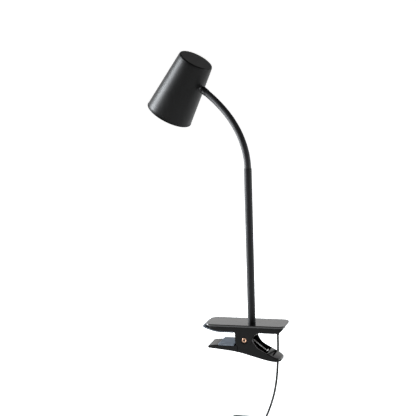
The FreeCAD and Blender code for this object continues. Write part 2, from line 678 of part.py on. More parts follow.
def roundedBlock(label, long, wide, tall, edge, middle):
    """Block on a face at its own z = 0, with rounded upright edges and top edges."""
    body = newBody(label)
    plan = outline(body, label + "Plan", "XY_Plane", [
        (f"0 - {long} / 2", f"0 - {wide} / 2"), (f"{long} / 2", f"0 - {wide} / 2"),
        (f"{long} / 2", f"{wide} / 2"), (f"0 - {long} / 2", f"{wide} / 2")])
    pad(body, plan, tall)
    upright = edgesWhere(body, lambda e: abs(e.tangentAt(e.FirstParameter).z) > 0.9)
    fillet(body, upright, f"{edge} * 2.5")
    top = evaluate(tall)
    rim = edgesWhere(body, lambda e: min(v.Z for v in e.Vertexes) > top - 0.01)
    fillet(body, rim, edge)
    return keep(body, label, middle)


def inlineSwitch():
    """Two half shells, a rocker in the upper one and the screws that hold them."""
    floor = Vector(size("switchX"), size("switchY"), size("floorZ"))
    base = roundedBlock("switch_base", "switchLong", "switchWide", "switchPart", "1", Placement(
        floor + Vector(0, 0, size("switchPart")), Rotation(Vector(1, 0, 0), 180)))
    holes = circles(base, "SwitchHoles", "XY_Plane", [
        ("0 - switchLong / 2 + 8", "0"), ("switchLong / 2 - 8", "0")], "screwHead + 0.1")
    shift(holes, "switchPart - screwHeadThick")
    pocket(base, holes, "screwHeadThick", back=True)
    cover = roundedBlock("switch_cover", "switchLong", "switchWide", "switchTall - switchPart", "1",
                         Placement(floor + Vector(0, 0, size("switchPart")), Rotation()))
    window = outline(cover, "RockerWindow", "XY_Plane", [
        ("0 - rockerLong / 2 - 0.5", "0 - rockerWide / 2 - 0.4"),
        ("rockerLong / 2 + 0.5", "0 - rockerWide / 2 - 0.4"),
        ("rockerLong / 2 + 0.5", "rockerWide / 2 + 0.4"),
        ("0 - rockerLong / 2 - 0.5", "rockerWide / 2 + 0.4")])
    shift(window, "switchTall - switchPart - 5")
    pocket(cover, window, "6", back=True)
    rocker = newBody("switch_rocker")
    side = outline(rocker, "RockerSide", "XZ_Plane", [
        ("0 - rockerLong / 2", "0.3"), ("0 - rockerLong / 2 + 0.4", "2.9"), ("0", "1.4"),
        ("rockerLong / 2 - 0.4", "1.9"), ("rockerLong / 2", "0 - 0.7"), ("2.5", "0 - 2.4"),
        ("0 - 2.5", "0 - 2.1")])
    pad(rocker, side, "rockerWide", middle=True)
    keep(rocker, "switch_rocker", Placement(floor + Vector(0, 0, size("switchTall") - 1.4), Rotation()))
    screws = []
    for i, offset in enumerate((8 - size("switchLong") / 2, size("switchLong") / 2 - 8)):
        screw = doc.addObject("Part::Cylinder", f"SwitchScrew{i}")
        screw.setExpression("Radius", cell("screwHead"))
        screw.setExpression("Height", cell("screwHeadThick - 0.3"))
        screw.Placement = Placement(floor + Vector(offset, 0, 0.3), Rotation())
        screws.append(screw)
    compound("switch_screws", screws)


def plug():
    """Small mains adaptor for the lamp's low-voltage cord, with two round pins."""
    floor = Vector(size("plugX") + size("plugLong") / 2, size("plugY"), size("floorZ"))
    roundedBlock("plug_body", "plugLong", "plugWide", "plugTall", "3", Placement(floor, Rotation()))
    back = Placement(Vector(size("plugX"), size("plugY"), size("floorZ") + size("plugTall") / 2),
                     Rotation(Vector(0, 1, 0), -90))
    turned("plug_boot", [
        ("0", "0"), ("5", "0"), ("4.4", "3"), ("cordRadius + 0.7", "plugBoot"), ("0", "plugBoot")],
        back)
    pins = []
    for i, side in enumerate((-1, 1)):
        pin = doc.addObject("Part::Cylinder", f"Pin{i}")
        pin.setExpression("Radius", cell("pinRadius"))
        pin.setExpression("Height", cell("pinLong"))
        rounded = doc.addObject("Part::Fillet", f"PinRound{i}")
        rounded.Base = pin
        doc.recompute()
        tip = next(n for n, e in enumerate(pin.Shape.Edges, start=1)
                   if e.CenterOfMass.z > size("pinLong") - 0.01)
        rounded.Edges = [(tip, 1.2, 1.2)]
        rounded.Placement = Placement(
            Vector(size("plugX") + size("plugLong"), size("plugY") + side * size("pinSpacing") / 2,
                   size("floorZ") + size("plugTall") / 2), Rotation(Vector(0, 1, 0), 90))
        pins.append(rounded)
    compound("plug_pins", pins)


def compound(label, pieces):
    """Identical loose pieces as one node of several solids."""
    joined = doc.addObject("Part::Compound", label)
    joined.Links = pieces
    doc.recompute()
    keep(joined, label)


# --- build and write ---------------------------------------------------------------------

topCover()
upperJaw()
padPiece("upper_jaw_pad", [
    ("coverLeft - 1.2", "9"), ("coverLeft + 0.8", "6.2"), ("coverLeft + 4.4", "3.6"),
    ("coverLeft + 12", "1.1"), ("0 - gripHalf", "0"), ("gripHalf", "0"),
    ("gripHalf + 0.6", "padThick"), ("0 - gripHalf - 1", "padThick"), ("coverLeft + 12", "3.4"),
    ("coverLeft + 4.4", "6"), ("coverLeft + 2", "8.6"), ("coverLeft + 0.4", "9")])
lowerJaw()
padPiece("lower_jaw_pad", [
    ("0 - gripHalf - 2.4", jawTop), ("gripHalf + 0.6", jawTop), ("gripHalf", "0 - boardGap"),
    ("0 - gripHalf - 1.6", "0 - boardGap")])
pivot()
uprightTube()
neck()
head()
coverScrews()
cord()
inlineSwitch()
plug()

doc.recompute()
for item in doc.Objects:
    if "Invalid" in item.State or "Error" in item.State:
        raise RuntimeError(f"{item.Label} failed: {item.State}")

os.makedirs("parts", exist_ok=True)
for item in subParts:
    shape = item.Shape
    if shape.isNull() or not shape.isValid() or not shape.Solids:
        raise RuntimeError(f"{item.Label} has no valid solid")
    shape.exportStep(f"parts/{item.Label}.step")
    box = shape.BoundBox
    print(f"{item.Label}: {len(shape.Solids)} solids, volume {shape.Volume:.0f}, "
          f"x {box.XMin:.1f}..{box.XMax:.1f} y {box.YMin:.1f}..{box.YMax:.1f} "
          f"z {box.ZMin:.1f}..{box.ZMax:.1f}")
print(f"{len(subParts)} sub-parts written")
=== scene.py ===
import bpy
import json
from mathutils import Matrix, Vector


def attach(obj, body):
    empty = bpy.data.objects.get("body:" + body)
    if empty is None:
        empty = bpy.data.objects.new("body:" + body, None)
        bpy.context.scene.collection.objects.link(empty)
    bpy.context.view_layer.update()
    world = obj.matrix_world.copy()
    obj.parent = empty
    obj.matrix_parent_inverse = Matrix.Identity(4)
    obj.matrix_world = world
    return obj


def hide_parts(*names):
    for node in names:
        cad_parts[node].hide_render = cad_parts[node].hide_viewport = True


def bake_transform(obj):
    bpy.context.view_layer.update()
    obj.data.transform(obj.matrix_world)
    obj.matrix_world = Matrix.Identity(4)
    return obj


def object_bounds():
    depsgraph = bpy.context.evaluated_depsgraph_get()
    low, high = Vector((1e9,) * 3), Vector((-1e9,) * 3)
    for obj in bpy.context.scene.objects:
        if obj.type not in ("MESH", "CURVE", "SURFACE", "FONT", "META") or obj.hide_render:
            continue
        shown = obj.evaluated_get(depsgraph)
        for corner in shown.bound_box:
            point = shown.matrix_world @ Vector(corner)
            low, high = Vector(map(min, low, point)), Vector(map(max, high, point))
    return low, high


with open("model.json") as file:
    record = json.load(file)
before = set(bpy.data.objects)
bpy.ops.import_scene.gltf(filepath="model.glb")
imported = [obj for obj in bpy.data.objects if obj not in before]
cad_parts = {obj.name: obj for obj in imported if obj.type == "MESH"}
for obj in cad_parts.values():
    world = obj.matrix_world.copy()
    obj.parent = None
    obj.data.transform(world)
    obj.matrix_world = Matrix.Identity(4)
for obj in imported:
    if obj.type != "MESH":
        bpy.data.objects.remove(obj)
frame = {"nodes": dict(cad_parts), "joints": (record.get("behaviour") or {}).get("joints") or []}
cadBox = [list(corner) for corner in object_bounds()]

import json
import math

import bmesh
import bpy
import numpy as np
from mathutils import Matrix, Vector

# Clip-on reading lamp: sprung clamp, upright tube, flexible neck, cone shade.
# Metres, +Z up, +X towards the clamp's handles, the origin on the upper pad's face.

mm = 0.001
joints = {joint["name"]: joint for joint in frame["joints"]}


def at(jointName):
    # the joint's place at rest, in metres
    return np.array(joints[jointName]["pos_m"])


def linear(hexText):
    # sRGB hex to linear: below 0.04045 divided by 12.92, above it a 2.4 power
    values = np.array([int(hexText[i:i + 2], 16) for i in (0, 2, 4)]) / 255
    values = np.where(values <= 0.04045, values / 12.92, ((values + 0.055) / 1.055) ** 2.4)
    return (*values.tolist(), 1.0)


def addNode(tree, kind, inputs=None, **settings):
    # one node with its settings, its values and its links
    node = tree.nodes.new(kind)
    for key, value in settings.items():
        setattr(node, key, value)
    for socket, value in (inputs or {}).items():
        if isinstance(value, bpy.types.NodeSocket):
            tree.links.new(value, node.inputs[socket])
        else:
            node.inputs[socket].default_value = value
    return node


def startMaterial(name, **shaderValues):
    # a Principled shader with constant values, and the piece's own coordinates for its patterns
    material = bpy.data.materials.new(name)
    material.use_nodes = True
    tree = material.node_tree
    tree.nodes.clear()
    shader = addNode(tree, "ShaderNodeBsdfPrincipled", shaderValues)
    addNode(tree, "ShaderNodeOutputMaterial", {"Surface": shader.outputs[0]})
    place = addNode(tree, "ShaderNodeTexCoord").outputs["Object"]
    return material, tree, shader, place


def cloud(tree, place, sizeMm, detail=3.0):
    # soft random patches of the given size
    return addNode(tree, "ShaderNodeTexNoise", {
        "Vector": place, "Scale": 1000.0 / sizeMm, "Detail": detail, "Roughness": 0.55}).outputs[0]


def ramp(tree, value, low, high, start=0.3, end=0.7):
    # value between start and end runs from low to high
    return addNode(tree, "ShaderNodeMapRange", {
        "Value": value, "From Min": start, "From Max": end, "To Min": low, "To Max": high}).outputs[0]


def blendColours(tree, value, lowHex, highHex):
    # low colour where the value is 0, high colour where it is 1
    mix = addNode(tree, "ShaderNodeMix", {0: value, 6: linear(lowHex), 7: linear(highHex)}, data_type="RGBA")
    return mix.outputs[2]


def bumpFrom(tree, height, depthMm):
    # normal of a relief as deep as the height's whole range, from 0 to 1
    return addNode(tree, "ShaderNodeBump", {
        "Height": height, "Distance": depthMm * mm, "Strength": 1.0}).outputs[0]


def speckledFinish(name, look, **shaderValues):
    # moulded or coated skin: fine grain in the bump, wide faint clouds in colour and gloss
    material, tree, shader, place = startMaterial(name, **shaderValues)
    wide = cloud(tree, place, look["cloudMm"], 4.0)
    fine = cloud(tree, place, look["grainMm"], 2.0)
    tree.links.new(blendColours(tree, ramp(tree, wide, 0, 1), look["dark"], look["light"]),
                   shader.inputs["Base Color"])
    tree.links.new(ramp(tree, wide, look["roughLow"], look["roughHigh"]), shader.inputs["Roughness"])
    tree.links.new(bumpFrom(tree, fine, look["depthMm"]), shader.inputs["Normal"])
    return material


# glossy injection-moulded ABS: nearly black, mirror-like from low angles, faint swirl marks; its reflection is
# set low as painted shade, the dim copy of the plastic for walls and sides
glossAbs = speckledFinish("glossyBlackAbs", {
    "dark": "050505", "light": "080808", "roughLow": 0.10, "roughHigh": 0.17,
    "cloudMm": 22, "grainMm": 2.2, "depthMm": 0.006}, IOR=1.54, **{"Specular IOR Level": 0.09})

# lit copy of the same ABS, with its reflection set high as a painted highlight: cover and thumb pad, brighter
# when seen at a low angle
litTopAbs = speckledFinish("litTopBlackAbs", {
    "dark": "060606", "light": "090909", "roughLow": 0.11, "roughHigh": 0.18,
    "cloudMm": 22, "grainMm": 2.2, "depthMm": 0.006}, IOR=1.54, **{"Specular IOR Level": 0.46})

# satin powder coat on steel and aluminium: soft wide highlight with a fine orange peel
powderCoat = speckledFinish("satinBlackPowderCoat", {
    "dark": "060606", "light": "0a0a0a", "roughLow": 0.37, "roughHigh": 0.43,
    "cloudMm": 35, "grainMm": 0.9, "depthMm": 0.018}, IOR=1.5, **{"Specular IOR Level": 0.12})

# the tube's coarser powder coat: matt, with the highlight spread over most of its width
tubeCoat = speckledFinish("mattBlackPowderCoat", {
    "dark": "0c0c0e", "light": "111113", "roughLow": 0.5, "roughHigh": 0.57,
    "cloudMm": 35, "grainMm": 0.9, "depthMm": 0.02}, IOR=1.5, **{"Specular IOR Level": 0.2})

# white powder coat inside the shade: bright, even, slightly warm
whiteCoat = speckledFinish("whitePowderCoat", {
    "dark": "e3e1dc", "light": "efeeea", "roughLow": 0.42, "roughHigh": 0.52,
    "cloudMm": 30, "grainMm": 0.9, "depthMm": 0.02}, IOR=1.5)

# extruded PVC sleeve over the gooseneck: matt black with a broad dull sheen
sleevePvc = speckledFinish("mattBlackPvcSleeve", {
    "dark": "101012", "light": "161618", "roughLow": 0.5, "roughHigh": 0.58,
    "cloudMm": 14, "grainMm": 0.6, "depthMm": 0.02}, IOR=1.52, **{"Specular IOR Level": 0.26})

# moulded nylon for the cuff and the ring: a little rougher than the shade
nylonBlack = speckledFinish("mouldedBlackNylon", {
    "dark": "0c0c0d", "light": "121213", "roughLow": 0.34, "roughHigh": 0.46,
    "cloudMm": 9, "grainMm": 0.5, "depthMm": 0.02}, IOR=1.53, **{"Specular IOR Level": 0.2})

# spark-eroded ABS of the switch and adaptor: an even fine grit that breaks up the gloss
gritAbs = speckledFinish("texturedBlackAbs", {
    "dark": "101011", "light": "171718", "roughLow": 0.46, "roughHigh": 0.58,
    "cloudMm": 18, "grainMm": 0.7, "depthMm": 0.05}, IOR=1.54, **{"Specular IOR Level": 0.3})

# natural nylon of the spring's spool: milky, waxy, slightly yellow
nylonNatural = speckledFinish("naturalNylon", {
    "dark": "cfcabb", "light": "dedacd", "roughLow": 0.4, "roughHigh": 0.5,
    "cloudMm": 6, "grainMm": 0.5, "depthMm": 0.015}, IOR=1.53, **{"Subsurface Weight": 0.15})

# white solder mask over the LED board's copper
solderMask = speckledFinish("whiteSolderMask", {
    "dark": "dcdcd6", "light": "ecece8", "roughLow": 0.3, "roughHigh": 0.42,
    "cloudMm": 3, "grainMm": 0.4, "depthMm": 0.02}, IOR=1.5)

# yellow phosphor under clear silicone, unlit
phosphor = speckledFinish("ledPhosphor", {
    "dark": "e0b52e", "light": "efcf52", "roughLow": 0.22, "roughHigh": 0.3,
    "cloudMm": 1.5, "grainMm": 0.3, "depthMm": 0.02},
    IOR=1.41, **{"Coat Weight": 0.6, "Coat Roughness": 0.05})

# opal acrylic: milk-white, light goes a little way in
opalAcrylic = speckledFinish("opalAcrylic", {
    "dark": "e6e6e2", "light": "f1f1ee", "roughLow": 0.24, "roughHigh": 0.34,
    "cloudMm": 12, "grainMm": 0.8, "depthMm": 0.01}, IOR=1.49,
    **{"Subsurface Weight": 0.35, "Subsurface Scale": 0.003, "Transmission Weight": 0.12})


def metalFinish(name, look):
    # bare or plated metal: clouds in the gloss and fine scratches one way, where scratchMm is their width
    material, tree, shader, place = startMaterial(name, Metallic=1.0)
    stretched = addNode(tree, "ShaderNodeMapping", {"Vector": place, "Scale": look["stretch"]}).outputs[0]
    scratch = cloud(tree, stretched, look["scratchMm"], 4.0)
    wide = cloud(tree, place, look["cloudMm"])
    tree.links.new(blendColours(tree, ramp(tree, wide, 0, 1), look["dark"], look["light"]),
                   shader.inputs["Base Color"])
    tree.links.new(ramp(tree, scratch, look["roughLow"], look["roughHigh"]), shader.inputs["Roughness"])
    tree.links.new(bumpFrom(tree, scratch, look["depthMm"]), shader.inputs["Normal"])
    return material


# coppered tubular rivet: warm pink-gold, dulled where the tool rolled it
copperPlate = metalFinish("copperedRivet", {
    "dark": "a37c64", "light": "cda88e", "roughLow": 0.24, "roughHigh": 0.42,
    "cloudMm": 1.4, "scratchMm": 0.5, "depthMm": 0.02, "stretch": (1, 1, 1)})

# bright drawn spring wire with fine lines along the coil
springWire = metalFinish("drawnSpringSteel", {
    "dark": "9c9c9b", "light": "c4c4c2", "roughLow": 0.2, "roughHigh": 0.34,
    "cloudMm": 3, "scratchMm": 0.3, "depthMm": 0.01, "stretch": (1, 3, 1)})

# bright chrome over brass
chrome = metalFinish("brightChrome", {
    "dark": "c6c8ca", "light": "d8dadb", "roughLow": 0.05, "roughHigh": 0.12,
    "cloudMm": 4, "scratchMm": 0.7, "depthMm": 0.004, "stretch": (1, 1, 1)})

# zinc-plated screws, nut and washers: bluish grey with cloudy passivation
zincPlate = metalFinish("zincPlatedSteel", {
    "dark": "9fa3a6", "light": "c0c2c1", "roughLow": 0.26, "roughHigh": 0.4,
    "cloudMm": 2.5, "scratchMm": 0.5, "depthMm": 0.015, "stretch": (1, 1, 2)})

# die-cast aluminium carrier: pale, rough skin
castAluminium = metalFinish("dieCastAluminium", {
    "dark": "b0b1b0", "light": "cbcbc9", "roughLow": 0.38, "roughHigh": 0.52,
    "cloudMm": 5, "scratchMm": 0.8, "depthMm": 0.03, "stretch": (1, 1, 1)})

# vacuum-metallised reflector: a soft mirror
metallised = metalFinish("metallisedReflector", {
    "dark": "d4d5d6", "light": "e4e5e5", "roughLow": 0.08, "roughHigh": 0.16,
    "cloudMm": 6, "scratchMm": 1.2, "depthMm": 0.008, "stretch": (1, 1, 1)})

# nickel-plated plug pins with rub marks along them
nickelPlate = metalFinish("nickelPlatedBrass", {
    "dark": "a8a195", "light": "cfc9bd", "roughLow": 0.18, "roughHigh": 0.3,
    "cloudMm": 3, "scratchMm": 0.5, "depthMm": 0.01, "stretch": (0.2, 1, 1)})


def ribbedRubber():
    # anti-slip rubber: blue-grey, matt, with moulded ribs across the jaw every 2.4 mm
    look = {"ribMm": 2.4, "dark": "3e454e", "light": "59626c", "depthMm": 0.25}
    material, tree, shader, place = startMaterial("antiSlipRubber", IOR=1.52)
    ribs = addNode(tree, "ShaderNodeTexWave", {
        "Vector": place, "Scale": 1000 / look["ribMm"] / 20 * 2 * math.pi, "Distortion": 0.0,
        "Detail": 0.0}, wave_type="BANDS", bands_direction="X").outputs[1]
    wide = cloud(tree, place, 8)
    tree.links.new(blendColours(tree, ramp(tree, wide, 0, 1), look["dark"], look["light"]),
                   shader.inputs["Base Color"])
    tree.links.new(ramp(tree, wide, 0.55, 0.7), shader.inputs["Roughness"])
    grain = bumpFrom(tree, cloud(tree, place, 0.5), 0.03)
    both = addNode(tree, "ShaderNodeBump", {
        "Height": ribs, "Distance": look["depthMm"] * mm, "Strength": 0.6, "Normal": grain}).outputs[0]
    tree.links.new(both, shader.inputs["Normal"])
    return material


def cordPvc():
    # round two-core PVC cord: satin black, faint print-free skin with a slow lay of the cores beneath
    material, tree, shader, place = startMaterial("blackCordPvc", IOR=1.52, **{"Specular IOR Level": 0.25})
    wide = cloud(tree, place, 10)
    tree.links.new(blendColours(tree, ramp(tree, wide, 0, 1), "0a0a0b", "111112"),
                   shader.inputs["Base Color"])
    tree.links.new(ramp(tree, wide, 0.36, 0.5), shader.inputs["Roughness"])
    tree.links.new(bumpFrom(tree, cloud(tree, place, 3.5), 0.03), shader.inputs["Normal"])
    return material


def strapFabric():
    # woven hook-and-loop strap: short nap over a plain weave of 0.8 mm threads, drawn coarse to show
    material, tree, shader, place = startMaterial("wovenHookAndLoop", IOR=1.5, **{"Sheen Weight": 0.3})
    weave = addNode(tree, "ShaderNodeTexVoronoi", {"Vector": place, "Scale": 1000 / 0.8}).outputs[0]
    tree.links.new(blendColours(tree, ramp(tree, weave, 0, 1, 0.0, 0.6), "26262a", "111113"),
                   shader.inputs["Base Color"])
    tree.links.new(ramp(tree, weave, 0.8, 0.95, 0.0, 0.6), shader.inputs["Roughness"])
    tree.links.new(bumpFrom(tree, weave, 0.12), shader.inputs["Normal"])
    return material


padRubber = ribbedRubber()
cordSkin = cordPvc()
strapCloth = strapFabric()
print("materials made:", len(bpy.data.materials))


view = {"target": (-0.0264, 0.0, 0.1761), "distance": 1.9836, "azimuth": 15.4, "elevation": 10.3,
        "roll": -1.8, "lens": 121.2}


def makeCamera():
    # looks at the target from azimuth and elevation, then rolls about its own axis
    a, e, r = (math.radians(view[key]) for key in ("azimuth", "elevation", "roll"))
    back = Vector((math.sin(a) * math.cos(e), -math.cos(a) * math.cos(e), math.sin(e)))
    right = Vector((math.cos(a), math.sin(a), 0))
    up = back.cross(right)
    turned = Matrix((right * math.cos(r) + up * math.sin(r), up * math.cos(r) - right * math.sin(r),
                     back)).transposed()
    data = bpy.data.cameras.new("camera")
    data.lens = view["lens"]
    data.sensor_width = 36
    data.clip_end = 20
    camera = bpy.data.objects.new("camera", data)
    bpy.context.scene.collection.objects.link(camera)
    camera.location = Vector(view["target"]) + back * view["distance"]
    camera.rotation_euler = turned.to_euler()
    bpy.context.scene.camera = camera


def areaLight(name, place, size, power):
    # soft box of the given size that faces the middle of the lamp
    data = bpy.data.lights.new(name, "AREA")
    data.shape = "RECTANGLE"
    data.size, data.size_y = size
    data.energy = power
    data.color = studio["tint"]
    light = bpy.data.objects.new(name, data)
    bpy.context.scene.collection.objects.link(light)
    light.location = place
    light.rotation_euler = (Vector(studio["aim"]) - Vector(place)).to_track_quat("-Z", "Y").to_euler()


studio = {"world": "ffffff", "behind": 1.15, "front": 0.22, "above": 0.2, "backTurn": (-0.2, 0.65),
          "topTurn": (0.24, 0.44), "tint": (0.92, 0.96, 1.0), "aim": (0, 0.03, 0.25),
          "floorGlow": 0.78, "floorDrop": 0.0015, "floorHalf": 30.0}


def makeWorld():
    # brightness by direction: the wall behind is bright, the room in front and the ceiling are dim
    world = bpy.data.worlds.new("studio")
    world.use_nodes = True
    tree = world.node_tree
    sky = tree.nodes["Background"]
    sky.inputs[0].default_value = linear(studio["world"])
    direction = addNode(tree, "ShaderNodeTexCoord").outputs["Generated"]
    parts = addNode(tree, "ShaderNodeSeparateXYZ", {0: direction}).outputs
    back = ramp(tree, parts[1], studio["front"], studio["behind"], *studio["backTurn"])
    high = ramp(tree, parts[2], 0.0, 1.0, *studio["topTurn"])
    mix = addNode(tree, "ShaderNodeMix", {0: high, 2: back, 3: studio["above"]}, data_type="FLOAT").outputs[0]
    tree.links.new(mix, sky.inputs[1])
    bpy.context.scene.world = world


def makeStudio():
    # two soft boxes, the directional surroundings and a wide glowing floor just under the adaptor
    makeWorld()
    bpy.context.scene.view_settings.view_transform = "Standard"
    areaLight("tallLeft", (-1.75, -0.05, 0.5), (0.8, 0.9), 135)
    areaLight("rightRim", (1.5, 0.35, 0.2), (0.3, 0.8), 10)
    half = studio["floorHalf"]
    height = cadBox[0][2] - studio["floorDrop"]
    corners = [(-half, -half, height), (half, -half, height), (half, half, height), (-half, half, height)]
    mesh = bpy.data.meshes.new("floor")
    mesh.from_pydata(corners, [], [(0, 1, 2, 3)])
    floor = bpy.data.objects.new("floor", mesh)
    bpy.context.scene.collection.objects.link(floor)
    # matt white backlit sweep with a barely visible tooth
    floor.data.materials.append(speckledFinish("whitePaper", {
        "dark": "f5f5f4", "light": "fafaf9", "roughLow": 0.85, "roughHigh": 0.95,
        "cloudMm": 300, "grainMm": 2, "depthMm": 0.02},
        IOR=1.45, **{"Emission Strength": studio["floorGlow"]}))


makeCamera()
makeStudio()
print("camera, light and floor set")


def gridFaces(rows, columns, closeRows=False, closeColumns=False):
    # quads of a grid whose point (i, j) has index i * columns + j
    i, j = np.meshgrid(np.arange(rows - (not closeRows)), np.arange(columns - (not closeColumns)),
                       indexing="ij")
    nextI, nextJ = (i + 1) % rows, (j + 1) % columns
    quads = np.stack([i * columns + j, i * columns + nextJ, nextI * columns + nextJ, nextI * columns + j], -1)
    return quads.reshape(-1, 4).tolist()


def tubeFaces(count, sides):
    # quads round a tube of count rings, and a disc at each end
    ends = [list(range(sides))[::-1], [(count - 1) * sides + k for k in range(sides)]]
    return gridFaces(count, sides, False, True) + ends


def newPiece(name, points, faces, body, finish, sharp=35):
    # merged, outward, smooth up to the sharp angle in degrees, and riding on its body if it has one
    mesh = bpy.data.meshes.new(name)
    mesh.from_pydata(np.asarray(points, float).reshape(-1, 3).tolist(), [], faces)
    shell = bmesh.new()
    shell.from_mesh(mesh)
    bmesh.ops.remove_doubles(shell, verts=shell.verts, dist=1e-7)
    bmesh.ops.recalc_face_normals(shell, faces=shell.faces)
    shell.to_mesh(mesh)
    shell.free()
    mesh.polygons.foreach_set("use_smooth", [True] * len(mesh.polygons))
    mesh.set_sharp_from_angle(angle=math.radians(sharp))
    mesh.materials.append(finish)
    piece = bpy.data.objects.new(name, mesh)
    bpy.context.scene.collection.objects.link(piece)
    if body:
        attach(piece, body)
    return piece


def lathe(profile, matrix, segments):
    # point(i, k) = matrix * (radius_i cos t_k, radius_i sin t_k, height_i); a closed ring of profile points
    profile = np.asarray(profile, float)
    t = np.linspace(0, 2 * np.pi, segments, endpoint=False)
    radius, height = profile[:, :1], profile[:, 1:]
    local = np.stack([radius * np.cos(t), radius * np.sin(t), height + 0 * t, np.ones_like(radius + t)], -1)
    return (local @ np.array(matrix).T)[..., :3]


def turnedPiece(name, profile, matrix, body, finish, closed=False, segments=96, sharp=35):
    # the profile turned round its own +Z; end discs close it where the profile is open
    count = len(profile)
    faces = gridFaces(count, segments, True, True) if closed else tubeFaces(count, segments)
    return newPiece(name, lathe(profile, matrix, segments), faces, body, finish, sharp)


def arcPoints(centre, radius, start, end, count):
    # centre + radius (cos a, sin a) for a from start to end, in degrees
    a = np.radians(np.linspace(start, end, count))
    return np.stack([centre[0] + radius * np.cos(a), centre[1] + radius * np.sin(a)], -1).tolist()


def smoothCurve(points, steps=8, closed=False):
    # Catmull-Rom: each span is the cubic through its two points with slopes from their neighbours
    p = np.asarray(points, float)
    if closed:
        before, after, far = np.roll(p, 1, 0), np.roll(p, -1, 0), np.roll(p, -2, 0)
        start = p
    else:
        padded = np.vstack([2 * p[0] - p[1], p, 2 * p[-1] - p[-2]])
        before, start, after, far = padded[:-3], padded[1:-2], padded[2:-1], padded[3:]
    u = np.linspace(0, 1, steps, endpoint=False)[None, :, None]
    a, b, c, d = (v[:, None, :] for v in (before, start, after, far))
    curve = 0.5 * (2 * b + (c - a) * u + (2 * a - 5 * b + 4 * c - d) * u ** 2
                   + (3 * b - a - 3 * c + d) * u ** 3)
    curve = curve.reshape(-1, p.shape[1])
    return curve if closed else np.vstack([curve, p[-1:]])


def joinParts(parts):
    # several closed shells as one mesh
    points, faces, offset = [], [], 0
    for spots, quads in parts:
        spots = np.asarray(spots).reshape(-1, 3)
        points.append(spots)
        faces += [[k + offset for k in face] for face in quads]
        offset += len(spots)
    return np.vstack(points), faces


# the cord goes out of the handle, down behind the clamp, through the switch, round the coil, to the adaptor

cordLook = {"radius": 1.7, "coilMiddle": (-98.0, 46.0), "pointsPerTurn": 16, "reach": 1.0196}
leadRoute = [(65.2, 24.5, -12), (65.2, 24.5, -25), (64.5, 24.5, -47), (63.0, 24.5, -70),
             (60.6, 24.5, -88), (56.8, 24.4, -105), (51.6, 24.2, -121), (45.6, 24.0, -136),
             (38.4, 23.7, -150), (29.6, 23.3, -162), (19.0, 22.9, -171.6), (7.4, 22.5, -178.5),
             (-4.0, 22.5, -178.5)]
middleRoute = [(-59.0, 22.5, -178.5), (-66.0, 22.5, -178.5), (-76.0, 22.8, -181.6),
               (-86.0, 23.3, -183.3), (-98.0, 23.4, -183.2)]
tailRoute = [(-98.0, 68.6, -165.7), (-84.0, 68.3, -166.1), (-69.0, 66.8, -167.9),
             (-54.0, 64.0, -170.0), (-42.0, 64.0, -170.0), (-24.0, 64.0, -170.0)]
# turns counted from the coil's start, the ring's radius there and the height there
coilShape = [(0.0, 22.6, -183.2), (4.0, 22.6, -169.3), (4.35, 19.1, -169.3), (7.75, 19.1, -183.2),
             (8.1, 15.6, -183.2), (11.5, 15.6, -169.3), (11.85, 17.6, -165.8), (12.5, 22.6, -165.7)]


def coilPoints():
    # middle + reach * radius(t) * (cos a, sin a), a = -90 - 360 t degrees, height(t); both run straight
    # between the rows of coilShape
    turns, radii, heights = np.array(coilShape).T
    t = np.arange(1, turns[-1] * cordLook["pointsPerTurn"]) / cordLook["pointsPerTurn"]
    a = np.radians(-90 - 360 * t)
    radius = np.interp(t, turns, radii) * cordLook["reach"]
    x, y = cordLook["coilMiddle"]
    return np.stack([x + radius * np.cos(a), y + radius * np.sin(a), np.interp(t, turns, heights)], -1)


def makeCord():
    # one round NURBS curve of order 3 along the whole route
    route = np.vstack([leadRoute, [(-22.0, 22.5, -178.5), (-41.0, 22.5, -178.5)], middleRoute,
                       coilPoints(), tailRoute]) * mm
    data = bpy.data.curves.new("cord", "CURVE")
    data.dimensions = "3D"
    data.bevel_depth = cordLook["radius"] * mm
    data.bevel_resolution = 5
    data.use_fill_caps = True
    spline = data.splines.new("NURBS")
    spline.points.add(len(route) - 1)
    spline.points.foreach_set("co", np.hstack([route, np.ones((len(route), 1))]).ravel())
    spline.order_u = 3
    spline.use_endpoint_u = True
    spline.resolution_u = 6
    cord = bpy.data.objects.new("cord", data)
    bpy.context.scene.collection.objects.link(cord)
    data.materials.append(cordSkin)
    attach(cord, "base")
    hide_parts("cord_lead", "cord_middle", "cord_tail", "cord_coil")
    return cord


strapLook = {"turn": 205.0, "wide": 9.0, "thick": 0.8, "inner": 13.6, "outer": 24.6,
             "low": -185.0, "high": -163.9, "corner": 2.2, "tab": 13.0, "edge": 0.3, "rows": 12}


def ringPath(low, high, corner, steps=7):
    # closed rounded rectangle between the corners low and high
    (x0, z0), (x1, z1) = low, high
    parts = [arcPoints((x1 - corner, z1 - corner), corner, 0, 90, steps),
             arcPoints((x0 + corner, z1 - corner), corner, 90, 180, steps),
             arcPoints((x0 + corner, z0 + corner), corner, 180, 270, steps),
             arcPoints((x1 - corner, z0 + corner), corner, 270, 360, steps)]
    return np.array(sum(parts, []))


